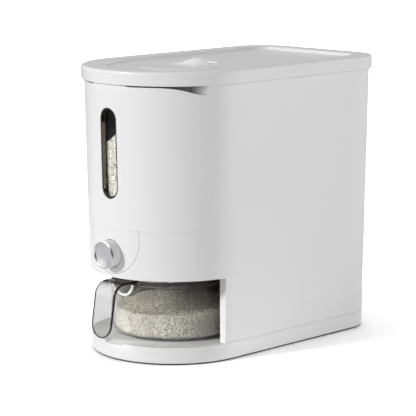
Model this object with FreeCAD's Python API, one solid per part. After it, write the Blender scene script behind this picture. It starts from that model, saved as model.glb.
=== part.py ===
"""Counter-top rice dispenser with a push button, a measuring chamber and a clear pull-out drawer.

Modelling frame, in millimetres: X across, +Y from the front to the rear, +Z up from the surface it
stands on. The Z axis of the modelling frame is the axis of the half-round front. Each finished shape
is then moved along Y alone, so that the origin of the part is the bottom centre of its box.
"""
import FreeCAD, Part

import math
import os

VEC = FreeCAD.Vector
X_AXIS = VEC(1, 0, 0)
Y_AXIS = VEC(0, 1, 0)
Z_AXIS = VEC(0, 0, 1)

# ---------------------------------------------------------------- driving sizes: body
BODY_WIDTH = 190.0           # across the flat sides at the standing surface
BODY_LENGTH = 337.0          # from the half-round front to the rear at the standing surface
REAR_CORNER_RADIUS = 36.0
OVERALL_HEIGHT = 328.0       # to the top of the lid's border
DRAFT_DEGREES = 1.12         # each wall leans outwards by this much
SHELL_WALL = 2.8
SEAM_GAP = 0.3               # between two mouldings that meet edge to edge
MOVING_GAP = 0.35            # between pieces that move past each other
SEAT_GAP = 0.1               # between a piece and the flat seat that it rests on

# ---------------------------------------------------------------- driving sizes: base
FOOT_HEIGHT = 1.5
FOOT_RADIUS = 8.0
FOOT_THICKNESS = 3.0
FRONT_FOOT_INSET = 22.0      # from the front outline to the centre of a front foot
FRONT_FOOT_ANGLE = 36.0
REAR_FOOT_INSET = 31.0       # from the side and from the rear to the centre of a rear foot
BASE_TOP = 20.0
BASE_DECK_THICKNESS = 3.0
BASE_EDGE_RADIUS = 2.0
SCOOP_HALF_WIDTH = 15.0
SCOOP_LENGTH = 12.0
SCOOP_DEPTH = 2.2
RIB_WALL = 2.0
RIB_SPACING = 60.0
LOCATING_RIB_HEIGHT = 6.0

# ---------------------------------------------------------------- driving sizes: drawer bay
BAY_TOP = 95.5
JAMB_FRONT = -12.5           # the bay is open in front of this plane
JAMB_WIDTH = 8.6             # from the side of the body to a jamb's inner face
JAMB_DEPTH = 14.0
DECK_THICKNESS = 3.0

# ---------------------------------------------------------------- driving sizes: front cover and button plate
COVER_TOP = 151.0
COVER_HALF_ANGLE = 62.0
COVER_GAP = 0.12             # round the cover's top and upright edges
PLATE_HALF_WIDTH = 38.1
PLATE_ROUND_CENTRE_Z = 137.5
PLATE_GROOVE = 0.5
PLATE_LIP = 3.0
PLATE_LIP_THICKNESS = 2.0
COLLAR_WALL = 2.0
COVER_SCREW_ANGLE = 44.0
COVER_POST_HEIGHT = 24.0

# ---------------------------------------------------------------- driving sizes: button
BUTTON_Z = 122.4
BUTTON_RADIUS = 15.8
BUTTON_CLEARANCE = 0.6       # between the barrel and the plate's hole
BUTTON_PROUD = 13.0
BUTTON_TRAVEL = 10.0
BUTTON_WALL = 2.0
BUTTON_LENGTH = 30.0
RING_LENGTH = 4.0
RING_WIDTH = 3.2
RING_OVERHANG = 0.3          # how far the ring stands out from the barrel
RING_EDGE_RADIUS = 1.35
FACE_SETBACK = 1.2           # from the ring's front to the face's rim
FACE_DISH = 1.6
SLEEVE_WALL = 1.8
SLEEVE_FLANGE = 2.0
RECESS_DEPTH = 8.3
PUSH_ROD_RADIUS = 4.0

# ---------------------------------------------------------------- driving sizes: window
WINDOW_WIDTH = 26.0
WINDOW_BOTTOM = 184.0
WINDOW_DROP = 42.0           # from the lid's top to the slot's top
WINDOW_OVERLAP = 3.0         # how far the pane reaches past the slot all round
SEAT_MARGIN = 30.0           # height of the seat's blank above and below the slot
PANE_THICKNESS = 2.4
GASKET_SHOW = 1.8            # how far the gasket stands inside the slot
GASKET_SETBACK = 0.4         # from the shell's outer face to the front of the gasket's lining

# ---------------------------------------------------------------- driving sizes: lid
LID_SKIRT_HEIGHT = 15.6
LID_OVERHANG = 3.1
LID_SKIRT_WALL = 2.5
LID_TOP_THICKNESS = 2.4
LID_BORDER = 24.5
LID_SINK = 4.0
LID_EDGE_RADIUS = 3.0
NOTCH_DEPTH = 10.4
NOTCH_SLIT = 1.9
NOTCH_END_ANGLE = 67.4
NOTCH_START_ANGLE = 12.0
NOTCH_REACH = 26.0
NOTCH_HEADROOM = 1.5
NOTCH_RAMP = 7.6             # length of the slit's slanted start
NOTCH_TURN = 10.0            # degrees that the cut looks further round than the notch's middle
NOTCH_WAIST = 0.36           # shares of the notch's length where its lower edge bends down
NOTCH_KNEE = 0.8
SEAL_SETBACK = 1.0
LID_SEAL_WIDTH = 5.0
TAB_Y = 59.0
TAB_WIDTH = 3.0
TAB_HALF_LENGTH = 10.0
TAB_HEIGHT = 1.6

# ---------------------------------------------------------------- driving sizes: cap in the lid
CAP_Y = 9.0
CAP_RADIUS = 45.0
CAP_THICKNESS = 1.6
CAP_PLUG_RADIUS = 38.0
CAP_PLUG_WALL = 2.0
CAP_PLUG_DEPTH = 11.0
CAP_RING_GAP = 0.45
CAP_BOSS_DEPTH = 4.0
CAP_RING_HEIGHT = 2.4
CAP_RING_DEPTH = 0.9
CAP_RING_PROUD = 0.3
CAP_RING_DROP = 5.5
CREST_RADIUS = 33.0
CREST_HEIGHT = 7.4
CREST_HALF_LENGTH = 24.5
CREST_INNER_RADIUS = 9.0
CREST_OUTER_RADIUS = 38.5
CREST_TOE = 0.4              # rise of the near slope where it leaves the cap
CREST_LEAN = 2.5             # how far the rear slope bulges past the peak
CREST_HEEL = 2.0             # height at which the rear slope turns down
CREST_EASE = 9.0             # length over which the crest's bell eases in at its ends and top
CREST_SINK = 0.2             # how far the bell starts below the cap's face
BASKET_DEPTH = 14.0
BASKET_WALL = 1.2
BASKET_SLOT = 2.6
BASKET_ROWS = 3

# ---------------------------------------------------------------- driving sizes: hopper
HOPPER_GAP = 1.5             # between the shell and the hopper
HOPPER_WALL = 2.2
HOPPER_DROP = 10.0           # from the lid's top to the top of the hopper's wall
RIM_THICKNESS = 2.5
RIM_SETBACK = 0.3
OUTLET_Z = 147.0
OUTLET_HALF = 32.5
OUTLET_NECK = 5.0
FRONT_SLOPE = 27.0
SIDE_SLOPE = 30.0
REAR_SLOPE = 25.0
FUNNEL_OVERRUN = 20.0        # how far the funnel's blank runs on above the rim

# ---------------------------------------------------------------- driving sizes: measuring works
CHAMBER_HALF = 35.0
CHAMBER_WALL = 2.5
SHUTTER_THICKNESS = 2.0
SHUTTER_HALF_WIDTH = 33.6
SLOT_WIDTH = 9.5
SLOT_PITCH = 20.0
SLOT_COUNT = 3
SLOT_HALF_LENGTH = 24.0
YOKE_THICKNESS = 6.0
YOKE_HALF_WIDTH = 14.0
PEG_RADIUS = 1.8
PEG_X = 9.0
ROD_TIP_RADIUS = 3.0
YOKE_SETBACK = 26.0          # from the front of the body to the yoke
FOOT_FLANGE = 9.0
CHUTE_WALL = 2.0
CHUTE_DEPTH = 4.0
DECK_EDGE_GAP = 0.4
SPRING_WIRE = 1.2
SPRING_RADIUS = 7.0
SPRING_TURNS = 8
SPRING_PIN_RADIUS = 4.5
SPRING_PIN_LENGTH = 15.0
SEAL_WIDTH = 3.0

# ---------------------------------------------------------------- driving sizes: drawer cup
CUP_MARGIN = 23.0            # from the side of the body to the cup's wall
CUP_REAR = 75.0
CUP_CORNER = 14.0
CUP_BOTTOM = 20.4
CUP_TOP = 89.8
CUP_WALL = 2.6
CUP_EDGE_RADIUS = 8.0
CUP_RIM_PROUD = 1.6
CUP_RIM_THICKNESS = 2.8
CUP_BEAD_DROP = 8.0
CUP_BEAD_HEIGHT = 1.4
CUP_BEAD_PROUD = 0.9
HANDLE_HALF_WIDTH = 16.3
HANDLE_THICKNESS = 3.0
HANDLE_LEAN = 8.8            # degrees that the paddle leans forwards towards its end
HANDLE_BEND_RADIUS = 17.0
HANDLE_STANDOUT = 44.3       # from the cup's front to the paddle's lowest end
HANDLE_BOTTOM = 28.3
TROUGH_RADIUS = 17.6
TROUGH_WALL = 3.4
TROUGH_LENGTH = 9.0

# ---------------------------------------------------------------- driving sizes: drawer rails and stop
RAIL_WALL = 2.5
RAIL_FOOT = 9.0
RAIL_LIP = 0.5
RAIL_END_MARGIN = 12.0
RAIL_FRONT = 4.0
RAIL_LENGTH = 84.0
RAIL_GAP = 0.5
STOP_HALF_WIDTH = 34.0
STOP_HEIGHT = 26.0
STOP_WALL = 3.0
BUMPER_RADIUS = 6.0
BUMPER_THICKNESS = 3.6
BUMPER_MARGIN = 3.0          # from a bumper to the edges of the stop wall

# ---------------------------------------------------------------- driving sizes: fasteners
SCREW_RADIUS = 1.5
SCREW_HEAD_RADIUS = 3.0
SCREW_HEAD_HEIGHT = 2.0
SCREW_PLAY = 0.2
POST_RADIUS = 5.0
POST_BITE = 2.0              # how far a rear post reaches into the corner's wall at the floor
LONG_SCREW = 12.0
SHORT_SCREW = 10.0
CHAMBER_SCREW = 5.0
RAIL_SCREW = 5.0

# ---------------------------------------------------------------- derived sizes
FRONT_RADIUS = BODY_WIDTH / 2
REAR_Y = BODY_LENGTH - FRONT_RADIUS
SLOPE = math.tan(math.radians(DRAFT_DEGREES))
FAR = 3 * BODY_LENGTH        # reach of cutting blocks
JAMB_INNER = FRONT_RADIUS - JAMB_WIDTH
CUP_RADIUS = FRONT_RADIUS - CUP_MARGIN
HANDLE_REACH = CUP_RADIUS + HANDLE_STANDOUT
WINDOW_TOP = OVERALL_HEIGHT - WINDOW_DROP
LID_SKIRT_BOTTOM = OVERALL_HEIGHT - LID_SKIRT_HEIGHT
HOPPER_TOP = OVERALL_HEIGHT - HOPPER_DROP
YOKE_FRONT = YOKE_SETBACK - FRONT_RADIUS
SHELL_TOP = HOPPER_TOP
DECK_BOTTOM = BAY_TOP + SEAM_GAP
DECK_TOP = DECK_BOTTOM + DECK_THICKNESS
HOPPER_OUTER = -(SHELL_WALL + HOPPER_GAP)
HOPPER_INNER = HOPPER_OUTER - HOPPER_WALL
RIM_TOP = HOPPER_TOP + SEAT_GAP + RIM_THICKNESS
LID_BORDER_UNDERSIDE = OVERALL_HEIGHT - LID_TOP_THICKNESS
LID_PANEL_TOP = OVERALL_HEIGHT - LID_SINK
LID_PANEL_BOTTOM = LID_PANEL_TOP - LID_TOP_THICKNESS
LID_SINK_OFFSET = LID_OVERHANG - LID_BORDER
LOWER_SHUTTER_Z = DECK_TOP + MOVING_GAP
CHAMBER_BOTTOM = LOWER_SHUTTER_Z + SHUTTER_THICKNESS + MOVING_GAP
UPPER_SHUTTER_Z = OUTLET_Z - MOVING_GAP - SHUTTER_THICKNESS
CHAMBER_TOP = UPPER_SHUTTER_Z - MOVING_GAP
BARREL_RADIUS = BUTTON_RADIUS - RING_OVERHANG
BUTTON_HOLE_RADIUS = BARREL_RADIUS + BUTTON_CLEARANCE
PLATE_FACE_Y = -(FRONT_RADIUS + SLOPE * BUTTON_Z)
BUTTON_FRONT_Y = PLATE_FACE_Y - BUTTON_PROUD
RECESS_FLOOR_Y = PLATE_FACE_Y + RECESS_DEPTH
YOKE_BACK = YOKE_FRONT + YOKE_THICKNESS
SLEEVE_BACK_Y = YOKE_FRONT - MOVING_GAP
PANE_FRONT = -(SHELL_WALL + HOPPER_GAP + MOVING_GAP)
PANE_BACK = PANE_FRONT - PANE_THICKNESS
STOP_FACE = CUP_REAR + MOVING_GAP + BUMPER_THICKNESS
CAP_SEAT_Z = LID_PANEL_TOP - CAP_THICKNESS - SEAT_GAP
CAP_RING_Z = CAP_SEAT_Z - CAP_RING_DROP
CAP_RING_INNER = CAP_PLUG_RADIUS - CAP_RING_DEPTH


def wall_offset(z):
    """Outward lean of the outer wall at height z, measured from the standing surface."""
    return SLOPE * z


def outline(radius, rear, corner, z):
    """Closed D-shaped wire at height z: half circle in front, flat sides, rounded rear corners."""
    diagonal = math.sqrt(0.5)
    left = VEC(-radius, 0, z)
    front = VEC(0, -radius, z)
    right = VEC(radius, 0, z)
    side_end = rear - corner
    back_end = radius - corner
    mid_x = back_end + corner * diagonal
    mid_y = side_end + corner * diagonal
    front_left = Part.Arc(left, VEC(-radius * diagonal, -radius * diagonal, z), front)
    front_right = Part.Arc(front, VEC(radius * diagonal, -radius * diagonal, z), right)
    corner_right = Part.Arc(VEC(radius, side_end, z), VEC(mid_x, mid_y, z), VEC(back_end, rear, z))
    corner_left = Part.Arc(VEC(-back_end, rear, z), VEC(-mid_x, mid_y, z), VEC(-radius, side_end, z))
    edges = [
        front_left.toShape(),
        front_right.toShape(),
        Part.LineSegment(right, VEC(radius, side_end, z)).toShape(),
        corner_right.toShape(),
        Part.LineSegment(VEC(back_end, rear, z), VEC(-back_end, rear, z)).toShape(),
        corner_left.toShape(),
        Part.LineSegment(VEC(-radius, side_end, z), left).toShape(),
    ]
    return Part.Wire(edges)


def body_outline(offset, z):
    """Outline of the drafted body at height z, moved outwards by offset."""
    grow = offset + wall_offset(z)
    return outline(FRONT_RADIUS + grow, REAR_Y + grow, REAR_CORNER_RADIUS + grow, z)


def drafted(offset, low, high):
    """Solid between two heights whose wall follows the drafted body, moved outwards by offset."""
    return Part.makeLoft([body_outline(offset, low), body_outline(offset, high)], True, True)


def block(x0, x1, y0, y1, z0, z1):
    """Box between two corners."""
    return Part.makeBox(x1 - x0, y1 - y0, z1 - z0, VEC(x0, y0, z0))


def upright(radius, x, y, z0, z1):
    """Vertical cylinder between two heights."""
    return Part.makeCylinder(radius, z1 - z0, VEC(x, y, z0), Z_AXIS)


def along_y(radius, x, z, y0, y1):
    """Cylinder along Y between two planes."""
    return Part.makeCylinder(radius, y1 - y0, VEC(x, y0, z), Y_AXIS)


def tube_along_y(outer, inner, x, z, y0, y1):
    """Tube along Y between two planes."""
    return along_y(outer, x, z, y0, y1).cut(along_y(inner, x, z, y0 - 1, y1 + 1))


def polygon_prism(points, direction):
    """Prism of a closed polygon, given by its corners, swept by the direction vector."""
    return Part.Face(Part.makePolygon(points + [points[0]])).extrude(direction)


def stadium(half_width, low, high, y0, y1):
    """Upright stadium in the XZ plane, swept along Y from y0 to y1."""
    depth = y1 - y0
    low_centre = low + half_width
    high_centre = high - half_width
    solid = block(-half_width, half_width, y0, y1, low_centre, high_centre)
    solid = solid.fuse(Part.makeCylinder(half_width, depth, VEC(0, y0, low_centre), Y_AXIS))
    return solid.fuse(Part.makeCylinder(half_width, depth, VEC(0, y0, high_centre), Y_AXIS)).removeSplitter()


def front_sector(half_angle, z0, z1):
    """Wedge of the half-round front within half_angle degrees of straight ahead."""
    side_x = FAR * math.sin(math.radians(half_angle))
    side_y = -FAR * math.cos(math.radians(half_angle))
    corners = [VEC(0, 0, z0), VEC(-side_x, side_y, z0), VEC(0, -FAR, z0), VEC(side_x, side_y, z0)]
    return polygon_prism(corners, VEC(0, 0, z1 - z0))


def mirrored(shape):
    """Copy of a shape on the other side of the centre plane."""
    return shape.mirror(VEC(0, 0, 0), X_AXIS)


def both_sides(shape):
    """A shape and its mirror image as one solid or compound."""
    return shape.fuse(mirrored(shape))


def screw(x, y, head_z, length, direction):
    """Pan-head screw whose head starts at head_z; direction is +1 for a screw driven upwards."""
    head_tip = head_z + direction * SCREW_HEAD_HEIGHT
    end = head_tip + direction * length
    head = upright(SCREW_HEAD_RADIUS, x, y, min(head_z, head_tip), max(head_z, head_tip))
    shank = upright(SCREW_RADIUS, x, y, min(head_tip, end), max(head_tip, end))
    return head.fuse(shank).removeSplitter()


def screw_hole(x, y, z0, z1):
    """Cut for the thread of a screw."""
    return upright(SCREW_RADIUS + SCREW_PLAY, x, y, z0, z1)


# ---------------------------------------------------------------- places shared by several pieces
def body_post_places():
    """Centres of the four posts that join the shell to the base and to the deck."""
    front_x = FRONT_RADIUS - SHELL_WALL - SCREW_HEAD_RADIUS - SCREW_PLAY
    front_y = JAMB_FRONT + JAMB_DEPTH / 2
    reach = (REAR_CORNER_RADIUS - SHELL_WALL - POST_RADIUS + POST_BITE) * math.sqrt(0.5)
    rear_x = FRONT_RADIUS - REAR_CORNER_RADIUS + reach
    rear_y = REAR_Y - REAR_CORNER_RADIUS + reach
    return [(front_x, front_y), (-front_x, front_y), (rear_x, rear_y), (-rear_x, rear_y)]


def foot_places():
    """Centres of the rubber feet."""
    front_radius = FRONT_RADIUS - FRONT_FOOT_INSET
    front_x = front_radius * math.sin(math.radians(FRONT_FOOT_ANGLE))
    front_y = -front_radius * math.cos(math.radians(FRONT_FOOT_ANGLE))
    rear_x = FRONT_RADIUS - REAR_FOOT_INSET
    rear_y = REAR_Y - REAR_FOOT_INSET
    return [(-front_x, front_y), (front_x, front_y), (-rear_x, rear_y), (rear_x, rear_y)]


def chamber_screw_places():
    """Centres of the screws that hold the measuring chamber's feet to the deck."""
    x = CHAMBER_HALF + FOOT_FLANGE / 2
    y = CHAMBER_HALF - FOOT_FLANGE
    return [(-x, -y), (x, -y), (-x, y), (x, y)]


def slot_centres(shift):
    """Y places of the grain slots, moved along Y by shift."""
    first = -SLOT_PITCH * (SLOT_COUNT - 1) / 2
    return [first + SLOT_PITCH * i + shift for i in range(SLOT_COUNT)]


def grain_slots(shift, z0, z1):
    """Cuts for the row of grain slots."""
    cuts = [
        block(-SLOT_HALF_LENGTH, SLOT_HALF_LENGTH, y - SLOT_WIDTH / 2, y + SLOT_WIDTH / 2, z0, z1)
        for y in slot_centres(shift)
    ]
    return Part.makeCompound(cuts)


def front_face_y(z):
    """Y of the outer wall on the centre plane at height z."""
    return -(FRONT_RADIUS + wall_offset(z))


# ---------------------------------------------------------------- base
def base_tray():
    """Tray under the whole body: deck, skirt, foot bosses, ribs, locating rib and drawer stop."""
    underside = BASE_TOP - BASE_DECK_THICKNESS
    tray = drafted(0, FOOT_HEIGHT, BASE_TOP)
    bottom_edges = [e for e in tray.Edges if e.BoundBox.ZMax < FOOT_HEIGHT + 0.01]
    tray = tray.makeFillet(BASE_EDGE_RADIUS, bottom_edges)
    tray = tray.cut(drafted(-SHELL_WALL, FOOT_HEIGHT - 1, underside))
    inside = drafted(-SHELL_WALL / 2, FOOT_HEIGHT, BASE_TOP)
    for y in (-RIB_SPACING / 2, RIB_SPACING / 2, RIB_SPACING * 1.5, RIB_SPACING * 2.5):
        rib = block(-FAR, FAR, y - RIB_WALL / 2, y + RIB_WALL / 2, BASE_TOP / 2, underside + 1)
        tray = tray.fuse(rib.common(inside))
    for x, y in foot_places():
        tray = tray.fuse(upright(FOOT_RADIUS + SHELL_WALL, x, y, FOOT_HEIGHT, underside + 1))
        tray = tray.cut(upright(FOOT_RADIUS + SEAT_GAP, x, y, 0, FOOT_THICKNESS + SEAT_GAP))
    tray = tray.fuse(locating_rib())
    tray = tray.fuse(block(-STOP_HALF_WIDTH, STOP_HALF_WIDTH, STOP_FACE, STOP_FACE + STOP_WALL,
                           BASE_TOP - 1, BASE_TOP + STOP_HEIGHT))
    for x, y in body_post_places():
        tray = tray.cut(screw_hole(x, y, 0, BASE_TOP + 1))
    for x, y in rail_screw_places():
        tray = tray.cut(screw_hole(x, y, 0, BASE_TOP + 1))
    return tray.cut(front_scoop()).removeSplitter()


def locating_rib():
    """Low rib on the base that the shell drops over, clear of the rear posts."""
    offset = -(SHELL_WALL + SEAM_GAP)
    low = BASE_TOP - 1
    high = BASE_TOP + LOCATING_RIB_HEIGHT
    rib = drafted(offset, low, high).cut(drafted(offset - RIB_WALL, low - 1, high + 1))
    rib = rib.cut(block(-FAR, FAR, -FAR, RAIL_FRONT + RAIL_LENGTH, low - 1, high + 1))
    for x, y in body_post_places():
        rib = rib.cut(upright(POST_RADIUS + SEAM_GAP, x, y, low - 1, high + 1))
    return rib


def front_scoop():
    """Shallow ramp in the base's front lip, under the drawer's handle."""
    lip_y = front_face_y(BASE_TOP)
    profile = [
        VEC(-SCOOP_HALF_WIDTH, lip_y - 1, BASE_TOP + 1),
        VEC(-SCOOP_HALF_WIDTH, lip_y - 1, BASE_TOP - SCOOP_DEPTH),
        VEC(-SCOOP_HALF_WIDTH, lip_y, BASE_TOP - SCOOP_DEPTH),
        VEC(-SCOOP_HALF_WIDTH, lip_y + SCOOP_LENGTH, BASE_TOP),
        VEC(-SCOOP_HALF_WIDTH, lip_y + SCOOP_LENGTH, BASE_TOP + 1),
    ]
    return polygon_prism(profile, VEC(2 * SCOOP_HALF_WIDTH, 0, 0))


def rubber_feet():
    """Four round feet pressed into the base's bosses."""
    return Part.makeCompound([upright(FOOT_RADIUS, x, y, 0, FOOT_THICKNESS) for x, y in foot_places()])


def base_screws():
    """Screws from under the base into the shell's posts."""
    head_z = BASE_TOP - BASE_DECK_THICKNESS - SCREW_HEAD_HEIGHT
    return Part.makeCompound([screw(x, y, head_z, LONG_SCREW, 1) for x, y in body_post_places()])


# ---------------------------------------------------------------- shell
def lid_notch():
    """Cut in the shell's top edge under the lid's skirt, for the fingers, on the right-hand side."""
    facing = math.radians((NOTCH_START_ANGLE + NOTCH_END_ANGLE) / 2 + NOTCH_TURN)
    radius = FRONT_RADIUS + wall_offset(LID_SKIRT_BOTTOM)
    start = radius * math.sin(math.radians(NOTCH_START_ANGLE) - facing)
    end = radius * math.sin(math.radians(NOTCH_END_ANGLE) - facing)
    slit_z = LID_SKIRT_BOTTOM - NOTCH_SLIT
    low_z = LID_SKIRT_BOTTOM - NOTCH_DEPTH
    along = VEC(math.cos(facing), math.sin(facing), 0)
    inwards = VEC(-math.sin(facing), math.cos(facing), 0)
    origin = inwards * (-radius - NOTCH_REACH)

    def at(u, z):
        return origin + along * u + VEC(0, 0, z)

    ramp_end = start + NOTCH_RAMP
    waist = start + (end - start) * NOTCH_WAIST
    knee = start + (end - start) * NOTCH_KNEE
    curve = Part.BezierCurve()
    curve.setPoles([at(waist, slit_z), at(knee, slit_z), at(knee, low_z), at(end, low_z)])
    edges = [
        Part.LineSegment(at(start, LID_SKIRT_BOTTOM), at(ramp_end, slit_z)).toShape(),
        Part.LineSegment(at(ramp_end, slit_z), at(waist, slit_z)).toShape(),
        curve.toShape(),
        Part.LineSegment(at(end, low_z), at(end, LID_SKIRT_BOTTOM + NOTCH_HEADROOM)).toShape(),
        Part.LineSegment(at(end, LID_SKIRT_BOTTOM + NOTCH_HEADROOM),
                         at(start, LID_SKIRT_BOTTOM + NOTCH_HEADROOM)).toShape(),
        Part.LineSegment(at(start, LID_SKIRT_BOTTOM + NOTCH_HEADROOM), at(start, LID_SKIRT_BOTTOM)).toShape(),
    ]
    return Part.Face(Part.Wire(edges)).extrude(inwards * (2 * NOTCH_REACH))


def body_shell():
    """Outer shell with the window slot, the cover opening, the drawer bay, the jambs and the posts."""
    low = BASE_TOP + SEAM_GAP
    shell = drafted(0, low, SHELL_TOP).cut(drafted(-SHELL_WALL, low - 1, SHELL_TOP + 1))
    shell = shell.cut(block(-FAR, FAR, -FAR, JAMB_FRONT, low - 1, BAY_TOP))
    shell = shell.cut(front_sector(COVER_HALF_ANGLE, BAY_TOP - 1, COVER_TOP))
    shell = shell.cut(stadium(WINDOW_WIDTH / 2, WINDOW_BOTTOM, WINDOW_TOP, -2 * FRONT_RADIUS, 0))
    shell = shell.cut(lid_notch()).cut(mirrored(lid_notch()))
    post_top = DECK_BOTTOM - SEAT_GAP
    column = block(JAMB_INNER, FRONT_RADIUS + 2, JAMB_FRONT, JAMB_FRONT + JAMB_DEPTH, low, post_top)
    column = column.common(drafted(-SHELL_WALL / 2, low, post_top))
    shell = shell.fuse(column).fuse(mirrored(column))
    for x, y in body_post_places()[2:]:
        shell = shell.fuse(upright(POST_RADIUS, x, y, low, post_top))
    for x, y in body_post_places():
        shell = shell.cut(screw_hole(x, y, low - 1, post_top + 1))
    return shell.removeSplitter()


# ---------------------------------------------------------------- front cover and button plate
def plate_prism(grow, y0, y1):
    """U-shaped prism of the button plate: straight at the top, half round below."""
    half = PLATE_HALF_WIDTH + grow
    top = COVER_TOP + grow
    prism = block(-half, half, y0, y1, PLATE_ROUND_CENTRE_Z, top)
    return prism.fuse(along_y(half, 0, PLATE_ROUND_CENTRE_Z, y0, y1)).removeSplitter()


def lower_front_cover():
    """Curved cover over the measuring works, with the opening for the button plate."""
    half_angle = COVER_HALF_ANGLE - math.degrees(COVER_GAP / FRONT_RADIUS)
    top = COVER_TOP - COVER_GAP
    cover = drafted(0, BAY_TOP, top).cut(drafted(-SHELL_WALL, BAY_TOP - 1, top + 1))
    cover = cover.common(front_sector(half_angle, BAY_TOP - 1, top + 1))
    cover = cover.cut(plate_prism(0, -2 * FRONT_RADIUS, 0))
    for x, y in cover_screw_places():
        post = upright(POST_RADIUS, x, y, DECK_TOP + SEAT_GAP, DECK_TOP + COVER_POST_HEIGHT)
        cover = cover.fuse(post.common(drafted(-SHELL_WALL / 2, BAY_TOP, top)))
        cover = cover.cut(screw_hole(x, y, DECK_TOP, DECK_TOP + COVER_POST_HEIGHT - SHELL_WALL))
    return cover.removeSplitter()


def cover_screw_places():
    """Centres of the screws that hold the front cover to the deck."""
    radius = FRONT_RADIUS - POST_RADIUS
    x = radius * math.sin(math.radians(COVER_SCREW_ANGLE))
    y = -radius * math.cos(math.radians(COVER_SCREW_ANGLE))
    return [(-x, y), (x, y)]


def cover_screws():
    """Screws from under the deck into the front cover's posts."""
    head_z = DECK_BOTTOM - SCREW_HEAD_HEIGHT
    return Part.makeCompound([screw(x, y, head_z, SHORT_SCREW, 1) for x, y in cover_screw_places()])


def button_plate():
    """Inlaid U-shaped plate with the round recess for the button and a lip behind the cover."""
    low = PLATE_ROUND_CENTRE_Z - PLATE_HALF_WIDTH - PLATE_LIP
    top = COVER_TOP - COVER_GAP
    face = drafted(0, low, top).cut(drafted(-SHELL_WALL - SEAT_GAP, low - 1, top + 1))
    face = face.common(plate_prism(-PLATE_GROOVE, -2 * FRONT_RADIUS, 0))
    lip_front = -SHELL_WALL - SEAT_GAP
    lip = drafted(lip_front, low, top).cut(drafted(lip_front - PLATE_LIP_THICKNESS, low - 1, top + 1))
    lip = lip.common(plate_prism(PLATE_LIP, -2 * FRONT_RADIUS, 0))
    lip = lip.cut(block(-FAR, FAR, -FAR, 0, 0, DECK_TOP + SEAT_GAP))
    collar_back = RECESS_FLOOR_Y - SEAT_GAP
    collar = along_y(BUTTON_HOLE_RADIUS + COLLAR_WALL, 0, BUTTON_Z, front_face_y(BUTTON_Z), collar_back)
    collar = collar.common(drafted(-SHELL_WALL / 2, low, top))
    plate = face.fuse(lip).fuse(collar)
    hole = along_y(BUTTON_HOLE_RADIUS, 0, BUTTON_Z, -2 * FRONT_RADIUS, 0)
    return plate.cut(hole).removeSplitter()


# ---------------------------------------------------------------- button
def button_sleeve():
    """Flanged tube behind the plate that guides the button's barrel."""
    bore = BARREL_RADIUS + MOVING_GAP
    flange_radius = BUTTON_HOLE_RADIUS + SLEEVE_FLANGE
    flange = along_y(flange_radius, 0, BUTTON_Z, RECESS_FLOOR_Y, RECESS_FLOOR_Y + SLEEVE_WALL)
    guide = along_y(bore + SLEEVE_WALL, 0, BUTTON_Z, RECESS_FLOOR_Y, SLEEVE_BACK_Y)
    sleeve = flange.fuse(guide)
    sleeve = sleeve.cut(along_y(bore, 0, BUTTON_Z, RECESS_FLOOR_Y - 1, SLEEVE_BACK_Y + 1))
    return sleeve.removeSplitter()


def button_barrel():
    """Hollow barrel of the button with a socket for the push rod."""
    front = BUTTON_FRONT_Y + RING_LENGTH
    back = front + BUTTON_LENGTH
    barrel = along_y(BARREL_RADIUS, 0, BUTTON_Z, front, back)
    barrel = barrel.cut(along_y(BARREL_RADIUS - BUTTON_WALL, 0, BUTTON_Z, front + BUTTON_WALL, back + 1))
    socket_radius = PUSH_ROD_RADIUS + SEAT_GAP
    socket = tube_along_y(socket_radius + BUTTON_WALL, socket_radius, 0, BUTTON_Z, front + 1, back - 1)
    return barrel.fuse(socket).removeSplitter()


def button_ring():
    """Bright ring round the button's face."""
    back = BUTTON_FRONT_Y + RING_LENGTH
    ring = tube_along_y(BUTTON_RADIUS, BUTTON_RADIUS - RING_WIDTH, 0, BUTTON_Z, BUTTON_FRONT_Y, back)
    front_edges = [e for e in ring.Edges if e.BoundBox.YMax < BUTTON_FRONT_Y + 0.01]
    return ring.makeFillet(RING_EDGE_RADIUS, front_edges)


def button_face():
    """Dished disc that the thumb presses."""
    radius = BUTTON_RADIUS - RING_WIDTH - SEAT_GAP
    front = BUTTON_FRONT_Y + FACE_SETBACK
    back = BUTTON_FRONT_Y + RING_LENGTH
    disc = along_y(radius, 0, BUTTON_Z, front, back)
    sphere_radius = (radius * radius + FACE_DISH * FACE_DISH) / (2 * FACE_DISH)
    dish = Part.makeSphere(sphere_radius, VEC(0, front + FACE_DISH - sphere_radius, BUTTON_Z))
    return disc.cut(dish)


def push_rod():
    """Stepped rod from the button's socket into the yoke."""
    front = BUTTON_FRONT_Y + RING_LENGTH + BUTTON_WALL + SEAT_GAP
    rod = along_y(PUSH_ROD_RADIUS, 0, BUTTON_Z, front, YOKE_FRONT)
    return rod.fuse(along_y(ROD_TIP_RADIUS, 0, BUTTON_Z, YOKE_FRONT - 1, YOKE_BACK)).removeSplitter()


def shutter_yoke():
    """Upright plate that joins the push rod to both shutters through two pegs."""
    low = LOWER_SHUTTER_Z + SHUTTER_THICKNESS
    yoke = block(-YOKE_HALF_WIDTH, YOKE_HALF_WIDTH, YOKE_FRONT, YOKE_BACK, low, UPPER_SHUTTER_Z)
    middle = (YOKE_FRONT + YOKE_BACK) / 2
    for x in (-PEG_X, PEG_X):
        yoke = yoke.fuse(upright(PEG_RADIUS, x, middle, LOWER_SHUTTER_Z, UPPER_SHUTTER_Z + SHUTTER_THICKNESS))
    return yoke.cut(along_y(ROD_TIP_RADIUS + SEAT_GAP, 0, BUTTON_Z, YOKE_FRONT - 1, YOKE_BACK + 1))


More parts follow.
